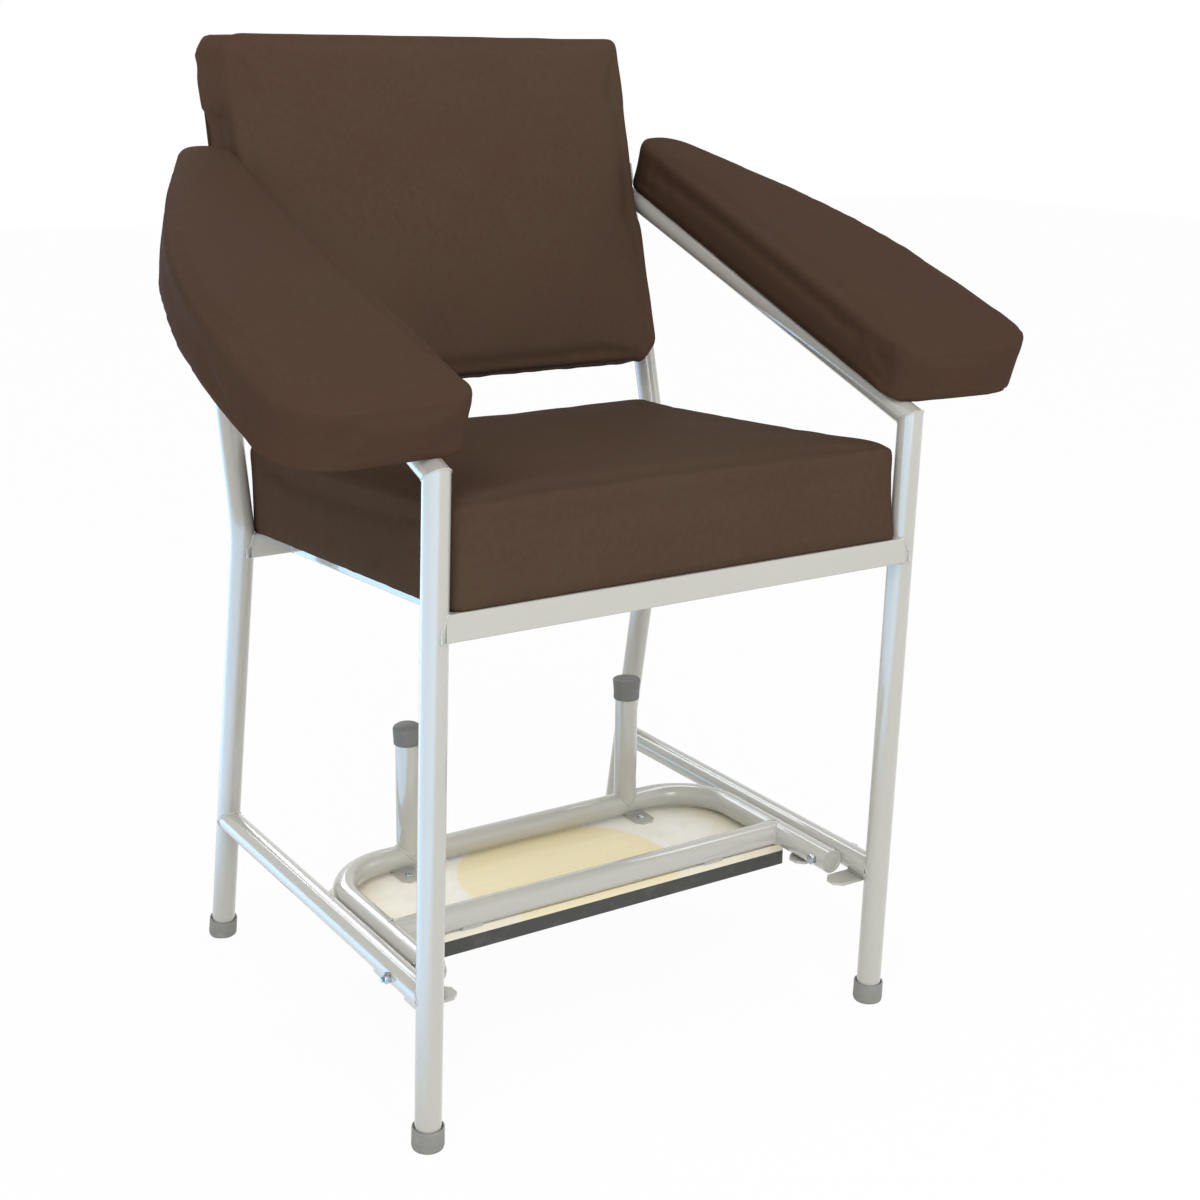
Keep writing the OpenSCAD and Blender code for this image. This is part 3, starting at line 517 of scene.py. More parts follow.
class Maker:
    """Collects points and faces in millimetres and makes one piece of them."""

    def __init__(self) -> None:
        """Starts empty."""
        self.points: list[np.ndarray] = []
        self.faces: Faces = []
        self.count = 0

    def add(self, points: np.ndarray, faces: Faces, place: Optional[Matrix] = None) -> None:
        """Adds points and faces.

        Args:
            points: The points, one a row.
            faces: Faces that number those points from 0.
            place: Where they go. A mirroring place turns the faces over.
        """
        points = np.asarray(points, float)
        if place is not None:
            points, mirrored = moved(points, place)
            if mirrored:
                faces = [tuple(reversed(f)) for f in faces]
        self.faces += [tuple(i + self.count for i in f) for f in faces]
        self.points.append(points)
        self.count += len(points)

    def lathe(self, profile: Sequence[tuple[float, float]], place: Matrix,
              steps: int = 40) -> None:
        """Adds a turned shape.

        Args:
            profile: Radius and height along Z, from bottom to top on the outside.
            place: Where its axis goes.
            steps: Points round it.
        """
        ring = circle(steps)
        rows = [np.column_stack([ring * max(r, 0.001), np.full(steps, z)]) for r, z in profile]
        self.add(*stacked(rows), place)

    def sweep(self, path: np.ndarray, outward: np.ndarray, radius: np.ndarray,
              closed: bool = True, sides: int = 8) -> None:
        """Adds a round bead along a path.

        Args:
            path: Points of its centreline.
            outward: A direction square to the path at each point.
            radius: Its radius at each point.
            closed: Whether the path closes on itself.
            sides: Points round it.
        """
        ahead = np.roll(path, -1, 0) - np.roll(path, 1, 0)
        if not closed:
            ahead[0], ahead[-1] = path[1] - path[0], path[-1] - path[-2]
        ahead /= np.linalg.norm(ahead, axis=1)[:, None]
        outward = outward - (outward * ahead).sum(1)[:, None] * ahead
        outward /= np.linalg.norm(outward, axis=1)[:, None]
        across = np.cross(ahead, outward)
        ring = circle(sides)
        spokes = (outward[:, None, :] * ring[None, :, :1]
                  + across[:, None, :] * ring[None, :, 1:])
        rows = path[:, None, :] + radius[:, None, None] * spokes
        points, faces = stacked(list(rows), not closed, not closed)
        if closed:
            last = (len(path) - 1) * sides
            faces += [(last + i, last + (i + 1) % sides, (i + 1) % sides, i)
                      for i in range(sides)]
        self.add(points, faces)

    def piece(self, name: str, material: bpy.types.Material, slot: Slot, body: Body,
              sharp: float = 40.0) -> bpy.types.Object:
        """Makes the piece and lets it ride on its body.

        Args:
            name: The piece's name.
            material: Its material.
            slot: The record's slot for it. Not used.
            body: The body that it rides on.
            sharp: Angle in degrees over which an edge shades sharp.

        Returns:
            The new object.
        """
        mesh = bpy.data.meshes.new(name)
        mesh.from_pydata((np.concatenate(self.points) * MM).tolist(), [], self.faces)
        mesh.validate()
        return settle(name, mesh, material, body, sharp)


def settle(name: str, mesh: bpy.types.Mesh, material: bpy.types.Material,
           body: Body, sharp: float = 40.0) -> bpy.types.Object:
    """Puts a mesh into the scene as a piece.

    Args:
        name: The piece's name.
        mesh: Its mesh, in metres in the model's frame.
        material: Its material.
        body: The body that it rides on.
        sharp: Angle in degrees over which an edge shades sharp.

    Returns:
        The new object.
    """
    mesh.shade_smooth()
    mesh.set_sharp_from_angle(angle=math.radians(sharp))
    mesh.materials.clear()
    mesh.materials.append(material)
    made = bpy.data.objects.new(name, mesh)
    bpy.context.scene.collection.objects.link(made)
    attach(made, body.value)
    log.info("%s: %d faces", name, len(mesh.polygons))
    return made


# Where things are, as in the CAD source


def tilted(x: float, y: float, z: float, degrees: float) -> Matrix:
    """A frame at a point, turned about X."""
    return Matrix.Translation((x, y, z)) @ Matrix.Rotation(math.radians(degrees), 4, "X")


def tangent(degrees: float) -> float:
    """Tangent of an angle in degrees."""
    return math.tan(math.radians(degrees))


@dataclass(frozen=True)
class Layout:
    """The frame's sizes and the places that follow from them, in millimetres."""

    tube: float = 25.4
    leg_x: float = 265.0
    foot_depth: float = 501.5
    feet_setback: float = 13.5
    front_lean: float = 2.25
    rear_lean: float = 10.9
    bend_height: float = 492.0
    recline: float = 14.0
    pivot_height: float = 149.5
    seat_height: float = 503.0
    seat_tilt: float = 3.25
    side_rail_inset: float = 62.7
    arm_height: float = 638.0
    arm_slope: float = 20.5
    seat_thickness: float = 93.0
    back_gap: float = 44.0
    back_rail_inset: float = 48.0
    back_rail_pitch: float = 133.5
    pivot_setback: float = 57.0
    arm_overhang: float = 16.0
    loop_reach: float = 231.0
    cross_reach: float = 78.0
    post_spacing: float = 277.0
    lug_spacing: float = 296.0
    plate_front: float = 117.0
    plate_rear_set: float = 226.5
    plate_thickness: float = 4.0
    washer: float = 1.2
    gap: float = 0.3

    @property
    def r(self) -> float:
        """Radius of the frame tube."""
        return self.tube / 2

    @property
    def front_foot(self) -> float:
        """Y of the front feet."""
        return self.feet_setback - self.foot_depth / 2

    @property
    def rear_foot(self) -> float:
        """Y of the rear feet."""
        return self.feet_setback + self.foot_depth / 2

    def front_leg_y(self, z: float) -> float:
        """Y of a front leg's axis at a height."""
        return self.front_foot - z * tangent(self.front_lean)

    def rear_leg_y(self, z: float) -> float:
        """Y of a rear leg's axis at a height below the bend."""
        return self.rear_foot - z * tangent(self.rear_lean)

    @property
    def pivot_y(self) -> float:
        """Y of the footrest's pivot."""
        return self.front_leg_y(self.pivot_height) + self.pivot_setback

    @property
    def footrest_arm_x(self) -> float:
        """X of the footrest's right arm."""
        return self.leg_x - self.tube - self.washer - self.gap

    @property
    def upright(self) -> Matrix:
        """Z along the uprights from the bend, -Y towards the sitter."""
        return tilted(0, self.rear_leg_y(self.bend_height), self.bend_height, -self.recline)

    @property
    def seat(self) -> Matrix:
        """Y rearwards from the front rail's centre, Z square to the seat."""
        return tilted(0, self.front_leg_y(self.seat_height), self.seat_height, -self.seat_tilt)

    @property
    def seat_pitch(self) -> float:
        """Distance between the front and rear seat rails."""
        y = self.front_leg_y(self.seat_height)
        lean, tilt = tangent(self.rear_lean), tangent(self.seat_tilt)
        rear = (self.rear_foot - lean * (self.seat_height + tilt * y)) / (1 - lean * tilt)
        return (rear - y) / math.cos(math.radians(self.seat_tilt))

    @property
    def arm_pitch(self) -> float:
        """Length of an arm rail, from its corner to the upright's axis."""
        y = self.front_leg_y(self.arm_height)
        lean, slope = tangent(self.recline), tangent(self.arm_slope)
        above = self.arm_height - slope * y - self.bend_height
        rear = (self.rear_leg_y(self.bend_height) + lean * above) / (1 - lean * slope)
        return (rear - y) / math.cos(math.radians(self.arm_slope))

    @property
    def back_start(self) -> float:
        """Distance from the bend to the back cushion, along the upright."""
        tilt = math.radians(self.seat_tilt)
        behind = self.rear_leg_y(self.bend_height) - self.front_leg_y(self.seat_height)
        lift = (self.r + self.seat_thickness
                - (self.bend_height - self.seat_height) * math.cos(tilt)
                - behind * math.sin(tilt))
        return lift / math.cos(math.radians(self.recline) - tilt) + self.back_gap

    @property
    def back_rails(self) -> tuple[float, float]:
        """Distances from the bend to the lower and upper back rails."""
        lower = self.back_start + self.back_rail_inset
        return lower, lower + self.back_rail_pitch

    @property
    def plate_rows(self) -> tuple[float, float]:
        """Distances of the pad plates behind an arm rail's corner."""
        return self.plate_front, self.arm_pitch - self.plate_rear_set

    def arm_rail(self, side: Side) -> Matrix:
        """X outwards, Y along the arm rail from its corner, Z square to it."""
        corner = tilted(self.leg_x, self.front_leg_y(self.arm_height), self.arm_height,
                        self.arm_slope)
        return Matrix.Diagonal((side.value, 1, 1, 1)) @ corner


# Upholstery


def arc(cx: float, cy: float, r: float, start: float, end: float, steps: int) -> np.ndarray:
    """Points of an arc between two angles in degrees."""
    angle = np.radians(np.linspace(start, end, steps + 1))
    return np.stack([cx + r * np.cos(angle), cy + r * np.sin(angle)], 1)


def evened(ring: np.ndarray, step: float) -> np.ndarray:
    """The same closed ring with points at equal steps."""
    closed = np.vstack([ring, ring[:1]])
    marks = np.concatenate([[0], np.cumsum(np.linalg.norm(np.diff(closed, axis=0), axis=1))])
    count = int(round(marks[-1] / step))
    at = np.linspace(0, marks[-1], count, endpoint=False)
    return np.stack([np.interp(at, marks, closed[:, k]) for k in range(closed.shape[1])], 1)


def inset(ring: np.ndarray, by: float) -> np.ndarray:
    """A ring drawn in by a distance."""
    along = np.roll(ring, -1, 0) - np.roll(ring, 1, 0)
    along /= np.linalg.norm(along, axis=1)[:, None]
    return ring + by * np.stack([-along[:, 1], along[:, 0]], 1)


def nearest(points: np.ndarray, line: np.ndarray) -> tuple[np.ndarray, np.ndarray]:
    """Distance from each point to an open line, and how far along the line that is.

    Args:
        points: The points.
        line: The line's points.

    Returns:
        The distances, and the lengths along the line.
    """
    best = np.full(len(points), 1e9)
    along = np.zeros(len(points))
    start = 0.0
    for a, b in zip(line[:-1], line[1:]):
        d = b - a
        length = np.linalg.norm(d)
        share = np.clip((points - a) @ d / length**2, 0, 1)
        gap = np.linalg.norm(points - (a + share[:, None] * d), axis=1)
        closer = gap < best
        best[closer] = gap[closer]
        along[closer] = start + share[closer] * length
        start += length
    return best, along


def ripple(at: np.ndarray, wave: float, seed: float) -> np.ndarray:
    """A smooth uneven wave between about -1 and 1, the same in each run."""
    return (np.sin(at * 2 * math.pi / wave + seed) * 0.55
            + np.sin(at * 2 * math.pi / (wave * 0.61) + seed * 2.3) * 0.3
            + np.sin(at * 2 * math.pi / (wave * 1.73) + seed * 3.7) * 0.35)


CLOTH: dict[str, object] = {
    "use_pressure": True, "uniform_pressure_force": 4.0, "quality": 4, "mass": 0.35,
    "tension_stiffness": 22.0, "compression_stiffness": 22.0, "shear_stiffness": 12.0,
    "bending_stiffness": 1.2, "vertex_group_mass": "foot",
}


@dataclass
class SoftForm:
    """A padded form in millimetres. Z runs up from its board's underside.

    Attributes:
        name: Its name.
        ring: Its outline, anticlockwise.
        thickness: Its height at the edge.
        crown: How much higher it is in the middle.
        edge: Reach of the rounded upper edge.
        waist: How far the sides are drawn in at mid-height.
        foot: How far the foot is drawn in.
        narrow: How much narrower each side gets to the top, near and far end.
        board_margin: How far the board stays within the outline.
        grow: How far the whole outline grows.
        band: Start and end share of the length, and half width, of the part
            that neighbours limit.
        swell: How far the cloth may swell, at most.
        shift: How far it may sink or slide, at most.
        voxel: Size of the remesh's cells.
        depth: How far it starts below the board's underside.
        frames: Length of the cloth simulation.
    """

    name: str
    ring: np.ndarray
    thickness: float
    crown: float
    edge: float = 8.0
    waist: float = 1.5
    foot: float = 0.0
    narrow: tuple[float, float] = (0.0, 0.0)
    board_margin: float = 9.0
    grow: float = 1.6
    band: Optional[tuple[float, float, float]] = None
    swell: float = 4.0
    shift: float = 1.4
    voxel: float = 5.0
    depth: float = 4.5
    frames: int = 20

    def shell(self) -> tuple[np.ndarray, Faces]:
        """The form before it swells: points and faces."""
        ring = evened(self.ring, 7.0)
        n = len(ring)
        low, high = ring.min(0), ring.max(0)
        mid = (low + high) / 2
        t, e = self.thickness, self.edge
        bevel = 1 - math.sin(math.radians(45))
        rows = [(1.0, -self.depth), (0.0, 1.0 - self.depth), (0, 0), (0, e / 2)]
        rows += [(self.waist * math.sin(math.pi * h), t * h) for h in (0.3, 0.5, 0.7)]
        rows += [(0, t - e), (e * bevel * 0.4, t - e * 0.5), (e * bevel, t - e * bevel), (e, t)]
        points = []
        for by, z in rows:
            h = z / t
            row = inset(ring, by + self.foot * (1 - h) - self.grow)
            far = (row[:, 1] - low[1]) / (high[1] - low[1])
            draw = self.narrow[0] + (self.narrow[1] - self.narrow[0]) * far
            across = (row[:, 0] - mid[0]) * (1 - 2 * draw * h / (high[0] - low[0]))
            row[:, 0] = mid[0] + self.banded(across, far, z)
            points.append(np.column_stack([row, np.full(n, z)]))
        top = points[-1]
        for s in np.linspace(1, 0, 16)[1:-1]:
            row = top.copy()
            row[:, :2] = mid + s * (top[:, :2] - mid)
            row[:, 2] = t + self.crown * (1 - s**2.4)
            points.append(row)
        rings = len(points)
        points += [np.array([[*mid, -self.depth]]), np.array([[*mid, t + self.crown]])]
        faces = tube_faces(rings, n)
        faces += [(rings * n, (i + 1) % n, i) for i in range(n)]
        last = (rings - 1) * n
        faces += [(rings * n + 1, last + i, last + (i + 1) % n) for i in range(n)]
        return np.concatenate(points), faces

    def banded(self, across: np.ndarray, far: np.ndarray, z: float) -> np.ndarray:
        """Keeps the sides within the band that neighbours leave free.

        Args:
            across: Distances from the middle.
            far: Share of the length at which each lies.
            z: Their height.

        Returns:
            The limited distances.
        """
        if self.band is None:
            return across
        start, end, half = self.band
        fade, beyond, rear_room, rear_height, rear_from = 0.09, 20.0, 10.5, 9.0, 0.62
        share = np.clip(np.minimum(far - start, end - far) / fade, 0, 1)
        share = share * share * (3 - 2 * share)
        rear = rear_room * math.exp(-max(z, 0) / rear_height)
        rear = rear * np.clip((far - rear_from) / 0.05, 0, 1)
        limit = half + rear + (1 - share) * beyond
        return np.clip(across, -limit, limit)

    def swollen(self) -> bpy.types.Object:
        """The form after its remesh and its cloth simulation, in its own frame."""
        points, faces = self.shell()
        mesh = bpy.data.meshes.new(self.name)
        mesh.from_pydata((points * MM).tolist(), [], faces)
        work = bpy.data.objects.new(self.name + "_work", mesh)
        bpy.context.scene.collection.objects.link(work)
        remesh = work.modifiers.new("remesh", "REMESH")
        remesh.mode = "VOXEL"
        remesh.voxel_size = self.voxel * MM
        even = work.modifiers.new("even", "SMOOTH")
        even.factor, even.iterations = 0.5, 3
        bake(work)
        self.inflate(work)
        work.modifiers.new("finer", "SUBSURF").levels = 1
        bake(work)
        return work

    def inflate(self, work: bpy.types.Object) -> None:
        """Swells the form by air pressure, up to a cap, its foot held fast."""
        rest = coordinates(work.data)
        held = work.vertex_groups.new(name="foot")
        held.add([int(i) for i in np.nonzero(rest[:, 2] < 4.0 * MM)[0]], 1.0, "REPLACE")
        cloth = work.modifiers.new("air", "CLOTH")
        for name, value in CLOTH.items():
            setattr(cloth.settings, name, value)
        cloth.settings.effector_weights.gravity = 0.0
        cloth.collision_settings.use_collision = False
        cloth.point_cache.frame_start, cloth.point_cache.frame_end = 1, self.frames
        scene = bpy.context.scene
        for step in range(1, self.frames + 1):
            scene.frame_set(step)
        swollen = work.evaluated_get(bpy.context.evaluated_depsgraph_get()).data
        moved_by = coordinates(swollen) - rest
        work.modifiers.remove(cloth)
        scene.frame_set(1)
        out = normals(work.data)
        lift = (moved_by * out).sum(1)[:, None]
        slide = moved_by - lift * out
        cap, low = self.swell * MM, self.shift * MM
        lift = np.where(lift > 0, cap * np.tanh(lift / cap), low * np.tanh(lift / low))
        length = np.linalg.norm(slide, axis=1)[:, None]
        slide *= low * np.tanh(length / low) / np.maximum(length, 1e-9)
        replace_points(work.data, rest + lift * out + slide)


def replace_points(mesh: bpy.types.Mesh, points: np.ndarray) -> None:
    """Gives a mesh other points, one a row, in metres."""
    mesh.vertices.foreach_set("co", points.astype(np.float32).ravel())
    mesh.update()


def bake(work: bpy.types.Object) -> None:
    """Applies an object's modifiers to its mesh."""
    made = bpy.data.meshes.new_from_object(
        work.evaluated_get(bpy.context.evaluated_depsgraph_get()))
    work.modifiers.clear()
    work.data = made


def coordinates(mesh: bpy.types.Mesh) -> np.ndarray:
    """The mesh's points, one a row."""
    flat = np.empty(len(mesh.vertices) * 3, np.float32)
    mesh.vertices.foreach_get("co", flat)
    return flat.reshape(-1, 3).astype(float)


def normals(mesh: bpy.types.Mesh) -> np.ndarray:
    """The mesh's point normals, one a row."""
    flat = np.empty(len(mesh.vertices) * 3, np.float32)
    mesh.vertex_normals.foreach_get("vector", flat)
    return flat.reshape(-1, 3).astype(float)


Detail = Callable[[np.ndarray, np.ndarray], np.ndarray]


@dataclass
class Upholstery:
    """One padded piece, with its seams and folds, the hem under its board and staples."""

    form: SoftForm
    place: Matrix
    node: str
    vinyl: bpy.types.Material
    zinc: bpy.types.Material
    details: list[Detail] = field(default_factory=list)
    hem_from: float = 2.0
    hem_to: float = 27.0
    hem_rows: Optional[tuple[float, float]] = None
    fill: float = 0.8

    def build(self) -> bpy.types.Object:
        """Makes the padded piece and what is under it.

        Returns:
            The padded piece.
        """
        work = self.form.swollen()
        points = coordinates(work.data) / MM
        out = normals(work.data)
        for detail in self.details:
            points = points + detail(points, out)
        placed, mirrored = moved(self.seated(points), self.place)
        made = work.data.copy()
        if mirrored:
            made.flip_normals()
        replace_points(made, placed * MM)
        bpy.data.objects.remove(work)
        piece = settle(self.node + "_soft", made, self.vinyl, Body.CHAIR, 75.0)
        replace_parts(piece, self.node)
        self.hem()
        return piece

    def seated(self, points: np.ndarray) -> np.ndarray:
        """Keeps the underside flat and opens it where the board is."""
        points = points.copy()
        points[:, 2] = np.maximum(points[:, 2], 0.25)
        opening = self.form.board_margin + self.form.foot + 3.0
        inside = within(points[:, :2], inset(evened(self.form.ring, 7.0), opening))
        points[inside & (points[:, 2] < 6.0), 2] = 7.0
        return points

    def hem(self) -> None:
        """The vinyl turned in under the board, with its staples."""
        outline = evened(self.form.ring, 5.0)
        ring = inset(outline, self.form.foot + self.hem_from)
        inner = inset(outline, self.form.foot + self.hem_to)
        n = len(ring)
        along = np.arange(n) * 5.0
        inner = inner + (inset(inner, 1.0) - inner) * ripple(along, 46.0, 1.3)[:, None] * 1.6
        levels = (
            (ring, 0.2), (inset(ring, 0.6), -0.75),
            (inset(ring, 9.0), -0.95 - 0.12 * ripple(along, 19.0, 0.4)),
            (inset(inner, -1.2), -0.9), (inner, -0.5), (inner, 0.2),
        )
        rows = [np.column_stack([row, np.broadcast_to(z, n)]) for row, z in levels]
        keep = np.ones(n, bool)
        if self.hem_rows is not None:
            keep = (ring[:, 1] > self.hem_rows[0]) & (ring[:, 1] < self.hem_rows[1])
        faces = [tuple(reversed(f)) for f in tube_faces(len(rows), n)
                 if keep[f[0] % n] and keep[f[1] % n]]
        strip = Maker()
        strip.add(np.concatenate(rows), faces, self.place)
        strip.piece(self.node + "_hem", self.vinyl, Slot.VINYL, Body.CHAIR, 60.0)
        self.staples(inset(inner, -8.0), keep)

    def staples(self, base: np.ndarray, keep: np.ndarray) -> None:
        """Staples along a ring.

        Args:
            base: The ring's points.
            keep: Which of them have a hem.
        """
        staples = Maker()
        n = len(base)
        ahead = np.roll(base, -1, 0) - np.roll(base, 1, 0)
        half, bend, sunk, proud = 5.0, 4.4, -0.6, -1.45
        for i in range(3, n, 7):
            if not (keep[i] and keep[(i + 1) % n] and keep[i - 1]):
                continue
            x, y = ahead[i] / np.linalg.norm(ahead[i])
            turn = 0.35 * math.sin(i * 1.7)
            c, s = math.cos(turn), math.sin(turn)
            d = np.array([x * c - y * s, x * s + y * c])
            path = np.array([[*(base[i] + d * by), z] for by, z in
                             ((-half, sunk), (-bend, proud), (bend, proud), (half, sunk))])
            down = np.tile([0.0, 0.0, -1.0], (4, 1)) + 0.01
            staples.sweep(path, down, np.full(4, 0.5), False, 6)
        placed = Maker()
        placed.add(np.concatenate(staples.points), staples.faces, self.place)
        placed.piece(self.node + "_staples", self.zinc, Slot.ZINC, Body.CHAIR)


def within(points: np.ndarray, ring: np.ndarray) -> np.ndarray:
    """Which points lie inside a closed ring."""
    inside = np.zeros(len(points), bool)
    x, y = points[:, 0], points[:, 1]
    for (x0, y0), (x1, y1) in zip(ring, np.roll(ring, -1, 0)):
        if y0 == y1:
            continue
        crosses = ((y0 > y) != (y1 > y)) & (x < (x1 - x0) * (y - y0) / (y1 - y0) + x0)
        inside ^= crosses
    return inside


def crease(line: np.ndarray, height: float, width: float, seed: float,
           wave: float = 24.0) -> Detail:
    """A raised, slightly uneven fold along a line.

    Args:
        line: The line's points, in the form's frame.
        height: How far it stands out.
        width: Its half width.
        seed: What sets its unevenness.
        wave: Length of its waves.

    Returns:
        The detail, for Upholstery.details.
    """
    def shape(points: np.ndarray, out: np.ndarray) -> np.ndarray:
        """How far each point moves."""
        gap, along = nearest(points, line)
        uneven = 0.75 + 0.25 * ripple(along, wave, seed)
        return out * (height * np.exp(-(gap / width) ** 2) * uneven)[:, None]
    return shape


def bump_at(centre: Sequence[float], toward: Sequence[float], reach: float,
            sharp: float = 1.5) -> Detail:
    """A local pull or ear.

    Args:
        centre: Its middle, in the form's frame.
        toward: How far and where to it pulls the vinyl.
        reach: Its radius.
        sharp: How pointed it is.

    Returns:
        The detail, for Upholstery.details.
    """
    def shape(points: np.ndarray, out: np.ndarray) -> np.ndarray:
        """How far each point moves."""
        gap = np.linalg.norm(points - np.array(centre), axis=1)
        share = np.clip(1 - gap / reach, 0, 1) ** sharp
        return share[:, None] * np.array(toward)
    return shape


def undulation(height: float, wave: float, seed: float) -> Detail:
    """Slow unevenness all over."""
    def shape(points: np.ndarray, out: np.ndarray) -> np.ndarray:
        """How far each point moves."""
        x, y, z = points.T
        lift = ripple(x + 0.4 * y, wave, seed) * ripple(y - 0.3 * x + z, wave * 1.2, seed + 2)
        return out * (height * lift)[:, None]
    return shape


def foot_pulls(ring: np.ndarray, thickness: float, depth: float, wave: float,
               seed: float) -> Detail:
    """Shallow dimples over the foot, where the staples pull the vinyl in."""
    ring = evened(ring, 12.0)
    line = np.column_stack([np.vstack([ring, ring[:1]]), np.zeros(len(ring) + 1)])

    def shape(points: np.ndarray, out: np.ndarray) -> np.ndarray:
        """How far each point moves."""
        move = np.zeros(len(points))
        side = np.abs(out[:, 2]) < 0.8
        flat = points[side] * (1, 1, 0)
        _, along = nearest(flat, line)
        fade = np.exp(-(points[side, 2] / thickness / 0.32) ** 2)
        move[side] = -depth * fade * (0.5 + 0.5 * ripple(along, wave, seed))
        return out * move[:, None]
    return shape


def upright_fold(x: float, y: float, low: float, high: float, count: int) -> np.ndarray:
    """A line up a side, for a crease."""
    return np.array([[x, y, z] for z in np.linspace(low, high, count)])


def level_fold(low: float, high: float, y: float, z: float) -> np.ndarray:
    """A line along a straight edge, for a crease."""
    return np.array([[x, y, z] for x in np.linspace(low, high, 24)])


@dataclass
class SeatCushion:
    """The seat, a deep foam block in taut vinyl."""

    layout: Layout
    side_gap: float = 0.8
    front_setback: float = 3.0
    rear_over: float = 9.0
    thickness: float = 95.0
    corner: float = 9.0
    draw: float = 1.5

    def build(self, vinyl: bpy.types.Material, zinc: bpy.types.Material) -> None:
        """Makes the seat's pieces."""
        rail = self.layout.tube
        width = 2 * self.layout.leg_x - rail - 2 * self.side_gap
        start = self.front_setback - rail / 2
        depth = self.layout.seat_pitch + self.rear_over - start
        ring = block_ring(width, depth, (self.corner,) * 4, self.draw)
        place = self.layout.seat @ Matrix.Translation((-width / 2, start, rail / 2))
        t = self.thickness
        details = [
            undulation(0.7, 150.0, 0.7),
            crease(level_fold(4, width - 4, 2.5, t - 2.5), 0.9, 4.5, 1.1, 60.0),
            foot_pulls(ring, t, 0.9, 44.0, 2.0),
        ]
        details += [crease(upright_fold(x, 2.0, 2, t - 6, 8), 0.7, 3.0, x, 30.0)
                    for x in (2.0, width - 2.0)]
        form = SoftForm("seat_form", ring, t, 8.0, waist=1.2)
        Upholstery(form, place, "seat_cushion", vinyl, zinc, details,
                   hem_rows=(rail + 4, depth - rail - 18)).build()


def block_ring(width: float, depth: float, corners: Sequence[float], draw: float) -> np.ndarray:
    """Rectangle with rounded corners, its sides drawn in between them.

    Args:
        width: Its size in X.
        depth: Its size in Y.
        corners: Radii at the near left, near right, far right and far left.
        draw: How far the sides are drawn in.

    Returns:
        The ring, anticlockwise.
    """
    a, b, c, d = corners
    raw = evened(np.vstack([
        arc(a, a, a, 180, 270, 6), arc(width - b, b, b, -90, 0, 6),
        arc(width - c, depth - c, c, 0, 90, 6), arc(d, depth - d, d, 90, 180, 6)]), 4.0)
    u, v = 2 * raw[:, 0] / width - 1, 2 * raw[:, 1] / depth - 1
    raw[:, 0] -= draw * np.sign(u) * np.abs(u) ** 3 * (1 - v * v)
    raw[:, 1] -= draw * np.sign(v) * np.abs(v) ** 3 * (1 - u * u)
    return raw


@dataclass
class BackCushion:
    """The back, a thinner pad whose vinyl is folded into ears at its corners."""

    layout: Layout
    half_width: float = 258.5
    height: float = 376.0
    lift: float = 2.0
    thickness: float = 46.0
    chamfer: float = 18.0
    band: tuple[float, float, float] = (0.36, 0.86, 244.5)

    def build(self, vinyl: bpy.types.Material, zinc: bpy.types.Material) -> None:
        """Makes the back's pieces."""
        w, h, t = 2 * self.half_width, self.height, self.thickness
        ring = self.cut_corners(block_ring(w, h, (10.0, 10.0, 7.0, 10.0), 0.0), w)
        start = (-w / 2, -self.layout.r, self.layout.back_start + self.lift)
        place = self.layout.upright @ tilted(*start, 90)
        details = [
            undulation(0.9, 130.0, 1.9),
            crease(level_fold(6, w - 6, h - 2.5, t - 2.5), 1.0, 3.6, 0.3, 70.0),
            crease(level_fold(10, w - 10, h - 1.5, 3.0), 1.0, 3.5, 2.3, 50.0),
            foot_pulls(ring, t, 1.1, 38.0, 0.9),
            self.wavy_side,
            bump_at((9.0, h, 14.0), (-4.5, 9.0, 0.0), 29.0, 1.1),
            bump_at((w, h - 3.0, 6.0), (2.5, 3.0, 0.0), 11.0),
            bump_at((w - 34.0, 0.0, 34.0), (0.0, -3.0, 0.0), 12.0),
            bump_at((w - 6.0, 3.0, t), (0.0, 0.0, -6.0), 22.0),
            bump_at((6.0, 3.0, t), (0.0, 0.0, -6.0), 22.0),
        ]
        form = SoftForm("back_form", ring, t, 7.0, narrow=(9.5, 18.0), board_margin=18.0,
                        waist=0.6, band=self.band)
        Upholstery(form, place, "back_cushion", vinyl, zinc, details, hem_to=32.0).build()

    def cut_corners(self, ring: np.ndarray, width: float) -> np.ndarray:
        """Cuts the corners diagonally, where the vinyl is folded over."""
        ring = ring.copy()
        cuts = ((0.0, 0.0, self.chamfer), (width, 0.0, self.chamfer),
                (0.0, self.height, 15.0), (width, self.height, 6.0))
        for x, y, cut in cuts:
            dx, dy = np.abs(ring[:, 0] - x), np.abs(ring[:, 1] - y)
            short = np.maximum(cut - (dx + dy), 0) / 2
            ring[:, 0] += np.sign(width / 2 - x) * short
            ring[:, 1] += np.sign(self.height / 2 - y) * short
        return ring

    def wavy_side(self, points: np.ndarray, out: np.ndarray) -> np.ndarray:
        """The loose vinyl down both sides, more on the left."""
        x, y, _ = points.T
        v = y / self.height
        free = np.clip((v - 0.72) / 0.2, 0, 1)
        push = np.where(out[:, 0] < -0.5, -1.0, np.where(out[:, 0] > 0.5, 0.4, 0.0))
        wave = (1.6 + 1.3 * np.sin(v * 31.0)) * free + 0.5 * ripple(y, 60.0, 0.8)
        move = np.zeros_like(points)
        move[:, 0] = push * wave
        return move


